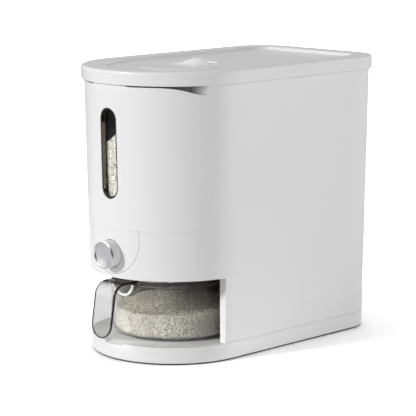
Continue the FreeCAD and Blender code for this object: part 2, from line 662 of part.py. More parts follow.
def shutter(z, shift):
    """Sliding blade at height z, whose grain slots are moved along Y by shift."""
    back = CHAMBER_HALF - SEAT_GAP
    blade = block(-SHUTTER_HALF_WIDTH, SHUTTER_HALF_WIDTH, -CHAMBER_HALF - 2, back, z, z + SHUTTER_THICKNESS)
    tongue = block(-YOKE_HALF_WIDTH, YOKE_HALF_WIDTH, YOKE_FRONT, -CHAMBER_HALF, z, z + SHUTTER_THICKNESS)
    blade = blade.fuse(tongue).cut(grain_slots(shift, z - 1, z + SHUTTER_THICKNESS + 1))
    middle = (YOKE_FRONT + YOKE_BACK) / 2
    for x in (-PEG_X, PEG_X):
        blade = blade.cut(upright(PEG_RADIUS + SEAT_GAP, x, middle, z - 1, z + SHUTTER_THICKNESS + 1))
    return blade.removeSplitter()


def upper_shutter():
    """Blade over the chamber, open at rest."""
    return shutter(UPPER_SHUTTER_Z, 0)


def lower_shutter():
    """Blade under the chamber, shut at rest."""
    return shutter(LOWER_SHUTTER_Z, -BUTTON_TRAVEL)


def return_spring():
    """Coil spring between the chamber and the yoke."""
    length = -CHAMBER_HALF - YOKE_BACK - SPRING_WIRE - 2 * SEAT_GAP
    helix = Part.makeHelix(length / SPRING_TURNS, length, SPRING_RADIUS)
    section = Part.Wire(Part.makeCircle(SPRING_WIRE / 2, VEC(SPRING_RADIUS, 0, 0), Y_AXIS))
    coil = Part.Wire(helix).makePipeShell([section], True, True)
    coil.rotate(VEC(0, 0, 0), X_AXIS, -90)
    coil.translate(VEC(0, YOKE_BACK + SPRING_WIRE / 2 + SEAT_GAP, BUTTON_Z))
    return coil


# ---------------------------------------------------------------- measuring chamber and deck
def measuring_chamber():
    """Box that holds one portion, with slotted top and bottom, guide lips, feet and the spring pin."""
    half = CHAMBER_HALF
    inner = half - CHAMBER_WALL
    chamber = block(-half, half, -half, half, CHAMBER_BOTTOM, CHAMBER_TOP)
    chamber = chamber.cut(block(-inner, inner, -inner, inner, CHAMBER_BOTTOM + CHAMBER_WALL,
                                CHAMBER_TOP - CHAMBER_WALL))
    chamber = chamber.cut(grain_slots(0, CHAMBER_BOTTOM - 1, CHAMBER_TOP + 1))
    guide = SHUTTER_HALF_WIDTH + MOVING_GAP
    lip = block(guide, half, -half, half, CHAMBER_TOP - 1, UPPER_SHUTTER_Z + SHUTTER_THICKNESS)
    foot = block(guide, half + FOOT_FLANGE, -half, half, DECK_TOP, DECK_TOP + CHAMBER_WALL)
    side = block(guide, half, -half, half, DECK_TOP, CHAMBER_BOTTOM + 1)
    chamber = both_sides(lip.fuse(foot).fuse(side)).fuse(chamber)
    for x, y in chamber_screw_places():
        chamber = chamber.cut(screw_hole(x, y, DECK_TOP - 1, DECK_TOP + CHAMBER_WALL + 1))
    pin = along_y(SPRING_PIN_RADIUS, 0, BUTTON_Z, -half - SPRING_PIN_LENGTH, -half + 1)
    return chamber.fuse(pin).removeSplitter()


def chamber_screws():
    """Screws through the chamber's feet into the deck."""
    head_z = DECK_TOP + CHAMBER_WALL + SCREW_HEAD_HEIGHT
    return Part.makeCompound([screw(x, y, head_z, CHAMBER_SCREW, -1) for x, y in chamber_screw_places()])


def mechanism_deck():
    """Plate over the drawer bay that carries the chamber, with the drop chute under its opening."""
    offset = -(SHELL_WALL + DECK_EDGE_GAP)
    deck = drafted(offset, DECK_BOTTOM, DECK_TOP)
    drop_x = SLOT_HALF_LENGTH + 1
    drop_y = SLOT_PITCH + SLOT_WIDTH / 2 + 1
    chute = block(-drop_x - CHUTE_WALL, drop_x + CHUTE_WALL, -drop_y - CHUTE_WALL, drop_y + CHUTE_WALL,
                  DECK_BOTTOM - CHUTE_DEPTH, DECK_TOP)
    deck = deck.fuse(chute)
    deck = deck.cut(block(-drop_x, drop_x, -drop_y, drop_y, DECK_BOTTOM - CHUTE_DEPTH - 1, DECK_TOP + 1))
    for x, y in body_post_places() + cover_screw_places() + chamber_screw_places():
        deck = deck.cut(screw_hole(x, y, DECK_BOTTOM - 1, DECK_TOP + 1))
    return deck.removeSplitter()


def deck_screws():
    """Screws from above through the deck into the shell's posts."""
    head_z = DECK_TOP + SCREW_HEAD_HEIGHT
    return Part.makeCompound([screw(x, y, head_z, LONG_SCREW, -1) for x, y in body_post_places()])


# ---------------------------------------------------------------- hopper and window
def funnel(half, low, high):
    """Upside-down pyramid whose four faces have the hopper's floor slopes."""
    rise = high - low
    front = half + rise / math.tan(math.radians(FRONT_SLOPE))
    side = half + rise / math.tan(math.radians(SIDE_SLOPE))
    rear = half + rise / math.tan(math.radians(REAR_SLOPE))
    bottom = Part.makePolygon([VEC(-half, -half, low), VEC(half, -half, low), VEC(half, half, low),
                               VEC(-half, half, low), VEC(-half, -half, low)])
    top = Part.makePolygon([VEC(-side, -front, high), VEC(side, -front, high), VEC(side, rear, high),
                            VEC(-side, rear, high), VEC(-side, -front, high)])
    return Part.makeLoft([bottom, top], True, True)


def hopper():
    """Inner tank: drafted walls, sloping floor, square neck, rim over the shell and window seat."""
    neck_top = OUTLET_Z + OUTLET_NECK
    top = HOPPER_TOP + SEAT_GAP
    inner_half = OUTLET_HALF - HOPPER_WALL
    outside = drafted(HOPPER_OUTER, neck_top, top + 1).common(funnel(OUTLET_HALF, neck_top, top + FUNNEL_OVERRUN))
    outside = outside.fuse(block(-OUTLET_HALF, OUTLET_HALF, -OUTLET_HALF, OUTLET_HALF, OUTLET_Z, neck_top))
    outside = outside.fuse(drafted(-RIM_SETBACK, top, RIM_TOP))
    seat_half = WINDOW_WIDTH / 2 + WINDOW_OVERLAP + HOPPER_WALL
    seat_low = WINDOW_BOTTOM - SEAT_MARGIN
    seat_high = WINDOW_TOP + SEAT_MARGIN
    seat = drafted(HOPPER_INNER + 1, seat_low, seat_high)
    seat = seat.cut(drafted(PANE_BACK - HOPPER_WALL, seat_low - 1, seat_high + 1))
    grow = WINDOW_OVERLAP + HOPPER_WALL
    seat = seat.common(stadium(seat_half, WINDOW_BOTTOM - grow, WINDOW_TOP + grow, -2 * FRONT_RADIUS, 0))
    inside = drafted(HOPPER_INNER, neck_top, RIM_TOP + 1)
    inside = inside.common(funnel(inner_half, neck_top, top + FUNNEL_OVERRUN))
    inside = inside.fuse(block(-inner_half, inner_half, -inner_half, inner_half, OUTLET_Z - 1, neck_top + 1))
    tank = outside.cut(inside).fuse(seat)
    pocket_low = WINDOW_BOTTOM - WINDOW_OVERLAP - SEAT_GAP
    pocket_high = WINDOW_TOP + WINDOW_OVERLAP + SEAT_GAP
    pocket = stadium(WINDOW_WIDTH / 2 + WINDOW_OVERLAP + SEAT_GAP, pocket_low, pocket_high,
                     -2 * FRONT_RADIUS, 0)
    pocket = pocket.cut(drafted(PANE_BACK - SEAT_GAP, pocket_low - 5, pocket_high + 5))
    sight = stadium(WINDOW_WIDTH / 2, WINDOW_BOTTOM, WINDOW_TOP, -2 * FRONT_RADIUS, 0)
    return tank.cut(pocket).cut(sight).removeSplitter()


def window_slab(outer, inner, grow):
    """Stadium cut from the drafted wall between two offsets, larger than the slot by grow."""
    low = WINDOW_BOTTOM - grow
    high = WINDOW_TOP + grow
    slab = drafted(outer, low - 5, high + 5).cut(drafted(inner, low - 6, high + 6))
    return slab.common(stadium(WINDOW_WIDTH / 2 + grow, low, high, -2 * FRONT_RADIUS, 0))


def window_pane():
    """Clear curved pane seated in the hopper's wall."""
    return window_slab(PANE_FRONT, PANE_BACK, WINDOW_OVERLAP)


def window_gasket():
    """Soft ring between the pane and the shell, with a lining that shows inside the slot."""
    back = PANE_FRONT + SEAT_GAP
    flange = window_slab(-SHELL_WALL - SEAT_GAP, back, WINDOW_OVERLAP)
    ring = flange.fuse(window_slab(-GASKET_SETBACK, back, -SEAT_GAP))
    hole = stadium(WINDOW_WIDTH / 2 - GASKET_SHOW, WINDOW_BOTTOM + GASKET_SHOW, WINDOW_TOP - GASKET_SHOW,
                   -2 * FRONT_RADIUS, 0)
    return ring.cut(hole).removeSplitter()


def neck_seal():
    """Square collar round the hopper's neck, just over the upper shutter."""
    inner = OUTLET_HALF + SEAT_GAP
    outer = inner + SEAL_WIDTH
    top = OUTLET_Z + OUTLET_NECK - 1
    collar = block(-outer, outer, -outer, outer, OUTLET_Z, top)
    return collar.cut(block(-inner, inner, -inner, inner, OUTLET_Z - 1, top + 1))


# ---------------------------------------------------------------- lid
def lid():
    """Lid with an overhanging skirt, a flat border, a sunk panel and the seat for the round cap."""
    body = drafted(LID_OVERHANG, LID_SKIRT_BOTTOM, OVERALL_HEIGHT)
    top_edges = [e for e in body.Edges if e.BoundBox.ZMin > OVERALL_HEIGHT - 0.01]
    body = body.makeFillet(LID_EDGE_RADIUS, top_edges)
    skirt_inner = LID_OVERHANG - LID_SKIRT_WALL
    body = body.cut(drafted(skirt_inner, LID_SKIRT_BOTTOM - 1, LID_BORDER_UNDERSIDE))
    wall = LID_SINK_OFFSET + LID_TOP_THICKNESS
    body = body.fuse(drafted(wall, LID_PANEL_BOTTOM, LID_BORDER_UNDERSIDE + 1))
    body = body.cut(drafted(LID_SINK_OFFSET, LID_PANEL_TOP, OVERALL_HEIGHT + 1))
    boss_radius = CAP_RADIUS + CAP_RING_GAP + CAP_PLUG_WALL
    boss = upright(boss_radius, 0, CAP_Y, LID_PANEL_BOTTOM - CAP_BOSS_DEPTH, LID_PANEL_TOP - 1)
    body = body.fuse(boss)
    body = body.cut(upright(CAP_PLUG_RADIUS + CAP_RING_GAP, 0, CAP_Y, 0, OVERALL_HEIGHT))
    body = body.cut(upright(CAP_RADIUS + CAP_RING_GAP, 0, CAP_Y, CAP_SEAT_Z, OVERALL_HEIGHT))
    tab = block(-TAB_HALF_LENGTH, TAB_HALF_LENGTH, TAB_Y, TAB_Y + TAB_WIDTH, LID_PANEL_TOP - 1,
                LID_PANEL_TOP + TAB_HEIGHT)
    return body.fuse(tab).removeSplitter()


def lid_seal():
    """Soft ring under the lid's border that closes on the hopper's rim."""
    low = RIM_TOP + MOVING_GAP
    high = LID_BORDER_UNDERSIDE - SEAT_GAP
    ring = drafted(-SEAL_SETBACK, low, high)
    return ring.cut(drafted(-SEAL_SETBACK - LID_SEAL_WIDTH, low - 1, high + 1))


def cap_crest():
    """Curved finger lip on the cap: a ridge round the cap's axis, cut to a bell from side to side."""
    base = LID_PANEL_TOP
    peak = base + CREST_HEIGHT
    inner = VEC(CREST_INNER_RADIUS, 0, base - 1)
    foot = VEC(CREST_INNER_RADIUS, 0, base)
    top = VEC(CREST_RADIUS, 0, peak)
    outer = VEC(CREST_OUTER_RADIUS, 0, base)
    near = Part.BezierCurve()
    toe_radius = (CREST_INNER_RADIUS + CREST_RADIUS) / 2
    brow_radius = (toe_radius + CREST_RADIUS) / 2
    near.setPoles([foot, VEC(toe_radius, 0, base + CREST_TOE), VEC(brow_radius, 0, peak), top])
    far = Part.BezierCurve()
    far.setPoles([top, VEC(CREST_RADIUS + CREST_LEAN, 0, peak), VEC(CREST_OUTER_RADIUS, 0, base + CREST_HEEL),
                  outer])
    edges = [
        Part.LineSegment(inner, foot).toShape(),
        near.toShape(),
        far.toShape(),
        Part.LineSegment(outer, VEC(CREST_OUTER_RADIUS, 0, base - 1)).toShape(),
        Part.LineSegment(VEC(CREST_OUTER_RADIUS, 0, base - 1), inner).toShape(),
    ]
    ridge = Part.Face(Part.Wire(edges)).revolve(VEC(0, 0, 0), Z_AXIS, 180).common(crest_bell())
    ridge.translate(VEC(0, CAP_Y, 0))
    return ridge


def crest_bell():
    """Prism along Y with a bell-shaped top: highest on the centre plane, eased in at both ends."""
    low = LID_PANEL_TOP - 1
    foot = LID_PANEL_TOP - CREST_SINK
    peak = LID_PANEL_TOP + CREST_HEIGHT
    end = CREST_HALF_LENGTH
    left = Part.BezierCurve()
    left.setPoles([VEC(-end, 0, foot), VEC(CREST_EASE - end, 0, foot), VEC(-CREST_EASE, 0, peak), VEC(0, 0, peak)])
    right = Part.BezierCurve()
    right.setPoles([VEC(0, 0, peak), VEC(CREST_EASE, 0, peak), VEC(end - CREST_EASE, 0, foot), VEC(end, 0, foot)])
    edges = [
        left.toShape(),
        right.toShape(),
        Part.LineSegment(VEC(end, 0, foot), VEC(end, 0, low)).toShape(),
        Part.LineSegment(VEC(end, 0, low), VEC(-end, 0, low)).toShape(),
        Part.LineSegment(VEC(-end, 0, low), VEC(-end, 0, foot)).toShape(),
    ]
    return Part.Face(Part.Wire(edges)).extrude(VEC(0, CREST_OUTER_RADIUS + 1, 0))


def round_cap():
    """Round cap of the drying compartment: disc flush with the panel, plug below and a finger lip."""
    plug_low = CAP_SEAT_Z - CAP_PLUG_DEPTH
    cap = upright(CAP_RADIUS, 0, CAP_Y, CAP_SEAT_Z + SEAT_GAP, LID_PANEL_TOP)
    plug = upright(CAP_PLUG_RADIUS, 0, CAP_Y, plug_low, CAP_SEAT_Z + 1)
    plug = plug.cut(upright(CAP_PLUG_RADIUS - CAP_PLUG_WALL, 0, CAP_Y, plug_low - 1, CAP_SEAT_Z + SEAT_GAP))
    groove = upright(CAP_PLUG_RADIUS + 1, 0, CAP_Y, CAP_RING_Z, CAP_RING_Z + CAP_RING_HEIGHT)
    groove = groove.cut(upright(CAP_RING_INNER, 0, CAP_Y, CAP_RING_Z - 1, CAP_RING_Z + CAP_RING_HEIGHT + 1))
    cap = cap.fuse(plug).cut(groove)
    return cap.fuse(cap_crest()).removeSplitter()


def cap_ring():
    """Soft ring in the groove of the cap's plug."""
    low = CAP_RING_Z + SEAT_GAP
    high = CAP_RING_Z + CAP_RING_HEIGHT - SEAT_GAP
    ring = upright(CAP_PLUG_RADIUS + CAP_RING_PROUD, 0, CAP_Y, low, high)
    return ring.cut(upright(CAP_RING_INNER + SEAT_GAP, 0, CAP_Y, low - 1, high + 1))


def drying_basket():
    """Slotted basket for the drying agent, pushed up inside the cap's plug."""
    radius = CAP_PLUG_RADIUS - CAP_PLUG_WALL - SEAT_GAP
    top = CAP_SEAT_Z - SEAT_GAP
    low = top - BASKET_DEPTH
    basket = upright(radius, 0, CAP_Y, low, top)
    basket = basket.cut(upright(radius - BASKET_WALL, 0, CAP_Y, low + BASKET_WALL, top + 1))
    reach = radius - BASKET_WALL - BASKET_SLOT
    for step in range(-BASKET_ROWS, BASKET_ROWS + 1):
        y = step * 3 * BASKET_SLOT
        half = math.sqrt(reach * reach - y * y) - BASKET_SLOT
        basket = basket.cut(block(-half, half, CAP_Y + y - BASKET_SLOT / 2, CAP_Y + y + BASKET_SLOT / 2,
                                  low - 1, low + BASKET_WALL + 1))
    return basket.removeSplitter()


# ---------------------------------------------------------------- drawer
def cup_block(inset, z0, z1):
    """Solid of the cup's outline, moved inwards by inset, between two heights."""
    wire = outline(CUP_RADIUS - inset, CUP_REAR - inset, CUP_CORNER - inset, z0)
    return Part.Face(wire).extrude(VEC(0, 0, z1 - z0))


def rounded_cup_block(inset, z0, z1, edge_radius):
    """Solid of the cup's outline with a rounded bottom edge."""
    solid = cup_block(inset, z0, z1)
    bottom_edges = [e for e in solid.Edges if e.BoundBox.ZMax < z0 + 0.01]
    return solid.makeFillet(edge_radius, bottom_edges)


def handle_strap():
    """Strap from the cup's rim, bent down into a leaning paddle with a round end."""
    lean = math.radians(HANDLE_LEAN)
    down = VEC(0, -math.sin(lean), -math.cos(lean))
    inwards = VEC(0, math.cos(lean), -math.sin(lean))
    end = VEC(0, -HANDLE_REACH, HANDLE_BOTTOM)
    corner = end + down * (-(CUP_TOP - HANDLE_BOTTOM) / math.cos(lean))
    turn = math.pi / 2 - lean
    tangent = HANDLE_BEND_RADIUS * math.tan(turn / 2)
    bend_start = corner + VEC(0, tangent, 0)
    bend_end = corner + down * tangent
    centre = bend_start - VEC(0, 0, HANDLE_BEND_RADIUS)
    middle = VEC(0, -math.sin(turn / 2), math.cos(turn / 2))
    inner_radius = HANDLE_BEND_RADIUS - HANDLE_THICKNESS
    under = VEC(0, 0, -HANDLE_THICKNESS)
    root = VEC(0, -CUP_RADIUS + 2 * CUP_WALL, CUP_TOP)
    edges = [
        Part.LineSegment(root, bend_start).toShape(),
        Part.Arc(bend_start, centre + middle * HANDLE_BEND_RADIUS, bend_end).toShape(),
        Part.LineSegment(bend_end, end).toShape(),
        Part.LineSegment(end, end + inwards * HANDLE_THICKNESS).toShape(),
        Part.LineSegment(end + inwards * HANDLE_THICKNESS, bend_end + inwards * HANDLE_THICKNESS).toShape(),
        Part.Arc(bend_end + inwards * HANDLE_THICKNESS, centre + middle * inner_radius,
                 bend_start + under).toShape(),
        Part.LineSegment(bend_start + under, root + under).toShape(),
        Part.LineSegment(root + under, root).toShape(),
    ]
    strap = Part.Face(Part.Wire(edges)).extrude(VEC(2 * HANDLE_HALF_WIDTH, 0, 0))
    strap.translate(VEC(-HANDLE_HALF_WIDTH, 0, 0))
    keep = block(-FAR, FAR, -FAR, FAR, HANDLE_HALF_WIDTH, FAR)
    keep = keep.fuse(along_y(HANDLE_HALF_WIDTH, 0, HANDLE_HALF_WIDTH, -FAR, FAR))
    keep.rotate(VEC(0, 0, 0), X_AXIS, -HANDLE_LEAN)
    keep.translate(end)
    return strap.common(keep)


def handle_trough():
    """Half-round gusset under the strap where it leaves the cup."""
    back = -CUP_RADIUS + 2 * CUP_WALL
    front = -CUP_RADIUS - TROUGH_LENGTH
    centre_z = CUP_TOP - HANDLE_THICKNESS / 2
    trough = tube_along_y(TROUGH_RADIUS, TROUGH_RADIUS - TROUGH_WALL, 0, centre_z, front, back)
    return trough.common(block(-FAR, FAR, front, back, 0, centre_z))


def drawer_cup():
    """Clear one-piece cup: walls, rim, bead, handle strap and gusset."""
    cup = rounded_cup_block(0, CUP_BOTTOM, CUP_TOP, CUP_EDGE_RADIUS)
    cup = cup.fuse(cup_block(-CUP_RIM_PROUD, CUP_TOP - CUP_RIM_THICKNESS, CUP_TOP))
    bead_z = CUP_TOP - CUP_BEAD_DROP
    cup = cup.fuse(cup_block(-CUP_BEAD_PROUD, bead_z, bead_z + CUP_BEAD_HEIGHT))
    cup = cup.fuse(handle_strap()).fuse(handle_trough())
    inside = rounded_cup_block(CUP_WALL, CUP_BOTTOM + CUP_WALL, CUP_TOP + 1, CUP_EDGE_RADIUS - CUP_WALL)
    return cup.cut(inside).removeSplitter()


def drawer_rail():
    """Right-hand guide for the cup: foot, wall and a lip over the cup's rim."""
    inner = CUP_RADIUS + CUP_RIM_PROUD + RAIL_GAP
    outer = inner + RAIL_WALL
    lip_x = CUP_RADIUS - RAIL_LIP
    lip_z = CUP_TOP + MOVING_GAP
    top = lip_z + RAIL_WALL
    foot_top = BASE_TOP + RAIL_WALL
    corners = [(inner, BASE_TOP), (outer + RAIL_FOOT, BASE_TOP), (outer + RAIL_FOOT, foot_top),
               (outer, foot_top), (outer, top), (lip_x, top), (lip_x, lip_z), (inner, lip_z)]
    points = [VEC(x, RAIL_FRONT, z) for x, z in corners]
    rail = polygon_prism(points, VEC(0, RAIL_LENGTH, 0))
    for x, y in rail_screw_places()[:2]:
        rail = rail.cut(screw_hole(x, y, BASE_TOP - 1, foot_top + 1))
    return rail


def drawer_rail_right():
    """Rail on the +X side."""
    return drawer_rail()


def drawer_rail_left():
    """Rail on the -X side."""
    return mirrored(drawer_rail())


def rail_screw_places():
    """Centres of the rail screws, the two on the right first."""
    x = CUP_RADIUS + CUP_RIM_PROUD + RAIL_GAP + RAIL_WALL + RAIL_FOOT / 2
    ends = (RAIL_FRONT + RAIL_END_MARGIN, RAIL_FRONT + RAIL_LENGTH - RAIL_END_MARGIN)
    return [(x, y) for y in ends] + [(-x, y) for y in ends]


def rail_screws():
    """Screws through the rails' feet into the base."""
    head_z = BASE_TOP + RAIL_WALL + SCREW_HEAD_HEIGHT
    return Part.makeCompound([screw(x, y, head_z, RAIL_SCREW, -1) for x, y in rail_screw_places()])


def drawer_bumpers():
    """Soft buttons on the stop wall that the cup's rear closes against."""
    z = BASE_TOP + STOP_HEIGHT - BUMPER_RADIUS - BUMPER_MARGIN
    x = STOP_HALF_WIDTH - BUMPER_RADIUS - BUMPER_MARGIN
    front = STOP_FACE - BUMPER_THICKNESS
    return Part.makeCompound([along_y(BUMPER_RADIUS, side * x, z, front, STOP_FACE) for side in (-1, 1)])


# ---------------------------------------------------------------- export
NODES = [
    base_tray, rubber_feet, base_screws, body_shell, lower_front_cover, cover_screws, button_plate,
    button_sleeve, button_barrel, button_ring, button_face, push_rod, shutter_yoke, upper_shutter,
    lower_shutter, return_spring, measuring_chamber, chamber_screws, mechanism_deck, deck_screws,
    hopper, window_pane, window_gasket, neck_seal, lid, lid_seal, round_cap, cap_ring, drying_basket,
    drawer_cup, drawer_rail_left, drawer_rail_right, rail_screws, drawer_bumpers,
]


def main():
    """Build every node, move the part so that its origin is its bottom centre, and write the files."""
    os.makedirs("parts", exist_ok=True)
    shapes = {make.__name__: make() for make in NODES}
    box = Part.makeCompound([shapes["lid"], shapes["drawer_cup"]]).optimalBoundingBox(False)
    shift = VEC(0, -(box.YMin + box.YMax) / 2, 0)
    for name, shape in shapes.items():
        shape.translate(shift)
        shape.exportStep("parts/" + name + ".step")
        print(name, "valid", shape.isValid(), "solids", len(shape.Solids), "volume", round(shape.Volume, 1))
    print("moved along Y by", round(shift.y, 4))


main()
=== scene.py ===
"""Looks of a counter-top rice dispenser: finishes, modelled pieces and a plain studio.

Sizes in the classes are millimetres in the maker's frame: X across, +Y to the rear, +Z up, with the
Z axis on the axis of the half-round front. A mesh is made in metres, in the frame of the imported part.
"""

import logging
import math
from dataclasses import dataclass
from enum import Enum
from typing import Callable, Optional, Sequence

import bmesh
import bpy
import numpy as np
from mathutils import Matrix, Vector


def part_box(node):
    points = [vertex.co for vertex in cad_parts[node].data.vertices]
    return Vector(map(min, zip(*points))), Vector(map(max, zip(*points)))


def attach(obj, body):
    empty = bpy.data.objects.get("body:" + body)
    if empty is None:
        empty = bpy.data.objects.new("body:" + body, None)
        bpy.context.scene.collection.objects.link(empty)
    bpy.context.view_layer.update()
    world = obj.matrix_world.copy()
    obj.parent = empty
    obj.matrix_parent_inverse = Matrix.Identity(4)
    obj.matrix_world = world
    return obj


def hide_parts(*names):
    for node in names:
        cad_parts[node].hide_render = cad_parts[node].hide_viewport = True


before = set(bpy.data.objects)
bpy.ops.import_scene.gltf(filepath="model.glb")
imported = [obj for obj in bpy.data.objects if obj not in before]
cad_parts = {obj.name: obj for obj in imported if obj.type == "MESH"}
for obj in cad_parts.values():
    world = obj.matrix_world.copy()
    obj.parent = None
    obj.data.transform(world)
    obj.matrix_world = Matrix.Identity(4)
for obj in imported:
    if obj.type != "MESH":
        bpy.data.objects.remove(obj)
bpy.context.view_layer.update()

LOG = logging.getLogger("rice_dispenser")
MM = 0.001
Colour = tuple[float, float, float]
WHITE: Colour = (1.0, 1.0, 1.0)
COLOUR_SOCKET = "NodeSocketColor"
NUMBER_SOCKET = "NodeSocketFloat"
ClearMaker = Callable[[object], bpy.types.NodeSocket]


def node_box(node: str) -> tuple[np.ndarray, np.ndarray]:
    """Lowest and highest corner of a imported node, in millimetres of the part's frame."""
    low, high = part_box(node)
    return np.array(low) / MM, np.array(high) / MM


LID_LOW, LID_HIGH = node_box("lid")
AXIS_Y = LID_LOW[1] + LID_HIGH[0]      # the half-round front's axis: its foremost point plus its radius
LID_TOP = LID_HIGH[2]
SKIRT_LOW = LID_LOW[2]


# ---------------------------------------------------------------- profiles and grids
def unit(vectors: np.ndarray) -> np.ndarray:
    """Vectors along the last axis, scaled to length 1."""
    return vectors / np.linalg.norm(vectors, axis=-1, keepdims=True)


def s_curve(share: np.ndarray) -> np.ndarray:
    """Smooth step from 0 to 1: three times the square less twice the cube."""
    return share * share * (3 - 2 * share)


def rounded(corners: Sequence[tuple[float, float, float]], closed: bool = False, steps: int = 6,
            support: float = 0.25) -> np.ndarray:
    """Profile through corners, each rounded by its own radius.

    At a corner whose sides leave along unit vectors u and v, at an angle a, the arc starts
    radius / tan(a / 2) along u, ends as far along v, and its centre lies on the bisector at
    radius / sin(a / 2). A support point just outside each end of an arc keeps flat shading flat.

    Args:
        corners: (across, up, radius) of each corner in order.
        closed: whether the last corner joins the first.
        steps: pieces in each arc.
        support: distance of a support point from its arc.

    Returns:
        Points as an (n, 2) array.
    """
    places = np.array([c[:2] for c in corners], float)
    count = len(corners)
    found = []
    for i, (_, _, radius) in enumerate(corners):
        if radius == 0 or (not closed and i in (0, count - 1)):
            found.append(places[i][None])
            continue
        u = unit(places[i - 1] - places[i])
        v = unit(places[(i + 1) % count] - places[i])
        half = math.acos(float(np.clip(u @ v, -1, 1))) / 2
        reach = radius / math.tan(half)
        centre = places[i] + unit(u + v) * radius / math.sin(half)
        start = places[i] + u * reach - centre
        end = places[i] + v * reach - centre
        first = math.atan2(start[1], start[0])
        turn = math.atan2(start[0] * end[1] - start[1] * end[0], start @ end)
        angles = first + turn * np.linspace(0, 1, steps + 1)
        arc = centre + radius * np.stack([np.cos(angles), np.sin(angles)], -1)
        found.append(np.vstack([arc[:1] + u * support, arc, arc[-1:] + v * support]))
    return np.vstack(found)


def with_steps(profile: np.ndarray, longest: float) -> np.ndarray:
    """Profile whose pieces longer than a length are cut into equal steps.

    Args:
        profile: (n, 2) array of places.
        longest: longest step that stays whole.

    Returns:
        The profile with the steps between.
    """
    found = []
    for first, last in zip(profile[:-1], profile[1:]):
        count = max(1, math.ceil(float(np.linalg.norm(last - first)) / longest))
        found.append(first + np.linspace(0, 1, count, endpoint=False)[:, None] * (last - first))
    return np.vstack([*found, profile[-1:]])


@dataclass(frozen=True)
class Plan:
    """Outline seen from above: half-round front, flat sides and rounded rear corners.

    Each column has a base point and an outward normal on the outline. Its point at an offset and a
    height is base + (offset + slope * height) * normal, so all offsets share their columns.
    """

    radius: float
    rear: float
    corner: float
    slope: float = 0.0
    centre_y: float = 9.0
    front_columns: int = 96
    side_columns: int = 22
    corner_columns: int = 12
    rear_columns: int = 8

    def columns(self) -> tuple[np.ndarray, np.ndarray]:
        """Base points and outward normals, anticlockwise from the left end of the round front.

        The front goes by equal angles, the sides by equal angles seen from (0, centre_y), the
        corners by equal angles and the rear by equal lengths.

        Returns:
            Two arrays of (columns, 2).
        """
        front = np.linspace(-np.pi / 2, np.pi / 2, self.front_columns + 1)[:-1]
        normal = [np.stack([np.sin(front), -np.cos(front)], -1)]
        base = [self.radius * normal[0]]
        side_end = self.rear - self.corner
        seen = np.linspace(math.atan2(-self.centre_y, self.radius),
                           math.atan2(side_end - self.centre_y, self.radius), self.side_columns + 1)
        side_y = self.centre_y + self.radius * np.tan(seen)
        bend = np.linspace(0, np.pi / 2, self.corner_columns + 1)[:-1]
        hub = self.radius - self.corner
        across = np.linspace(hub, -hub, self.rear_columns + 1)[:-1]
        right = np.stack([np.full(self.side_columns, self.radius), side_y[:-1]], -1)
        left = np.stack([np.full(self.side_columns, -self.radius), side_y[:0:-1]], -1)
        out_right = np.stack([np.cos(bend), np.sin(bend)], -1)
        out_left = np.stack([-np.sin(bend), np.cos(bend)], -1)
        base += [right, np.array([hub, side_end]) + self.corner * out_right,
                 np.stack([across, np.full(self.rear_columns, self.rear)], -1),
                 np.array([-hub, side_end]) + self.corner * out_left, left]
        normal += [np.tile([1.0, 0.0], (self.side_columns, 1)), out_right,
                   np.tile([0.0, 1.0], (self.rear_columns, 1)), out_left,
                   np.tile([-1.0, 0.0], (self.side_columns, 1))]
        return np.vstack(base), np.vstack(normal)

    def loops(self, profile: np.ndarray) -> np.ndarray:
        """Grid whose rows follow a profile of (offset, height) round the outline.

        Args:
            profile: (rows, 2) array of offsets and heights.

        Returns:
            (rows, columns, 3) array.
        """
        base, normal = self.columns()
        lean = profile[:, :1] + self.slope * profile[:, 1:]
        flat = base[None] + lean[:, :, None] * normal[None]
        height = np.broadcast_to(profile[:, 1:, None], (*flat.shape[:2], 1))
        return np.concatenate([flat, height], -1)


def between(first: np.ndarray, last: np.ndarray, count: int) -> np.ndarray:
    """Rows evenly spaced between two rows, without either: first + share * (last - first)."""
    share = np.linspace(0, 1, count + 2)[1:-1, None, None]
    return first[None] + share * (last - first)[None]


def lathe(profile: np.ndarray, columns: int) -> np.ndarray:
    """Grid of a profile turned about its own axis.

    The point at radius r, height h and angle a is (r cos a, r sin a, h).

    Args:
        profile: (rows, 2) array of radii and heights.
        columns: number of columns round the axis.

    Returns:
        (rows, columns, 3) array.
    """
    angle = np.linspace(0, 2 * np.pi, columns, endpoint=False)
    radius = profile[:, :1]
    height = np.broadcast_to(profile[:, 1:], (len(profile), columns))
    return np.stack([radius * np.cos(angle), radius * np.sin(angle), height], -1)


def facing_front(grid: np.ndarray, y: float, z: float) -> np.ndarray:
    """Grid turned so that its own +Z looks forwards along -Y, with its origin at (0, y, z)."""
    return np.stack([grid[..., 0], y - grid[..., 2], z + grid[..., 1]], -1)


def linked(name: str, data: bpy.types.ID) -> bpy.types.Object:
    """New object of a name with its data, in the scene.

    Args:
        name: name of the object.
        data: its mesh, lamp or camera.

    Returns:
        The object.
    """
    made = bpy.data.objects.new(name, data)
    bpy.context.scene.collection.objects.link(made)
    return made


def to_object(name: str, points: np.ndarray, faces: list) -> bpy.types.Object:
    """Smooth mesh object from millimetre points in the maker's frame.

    Args:
        name: name of the piece.
        points: (n, 3) array.
        faces: lists of point numbers.

    Returns:
        The object, at the origin, in the scene.
    """
    placed = (points + np.array([0.0, AXIS_Y, 0.0])) * MM
    mesh = bpy.data.meshes.new(name)
    mesh.from_pydata(placed.tolist(), [], faces)
    mesh.shade_smooth()
    mesh.update()
    return linked(name, mesh)


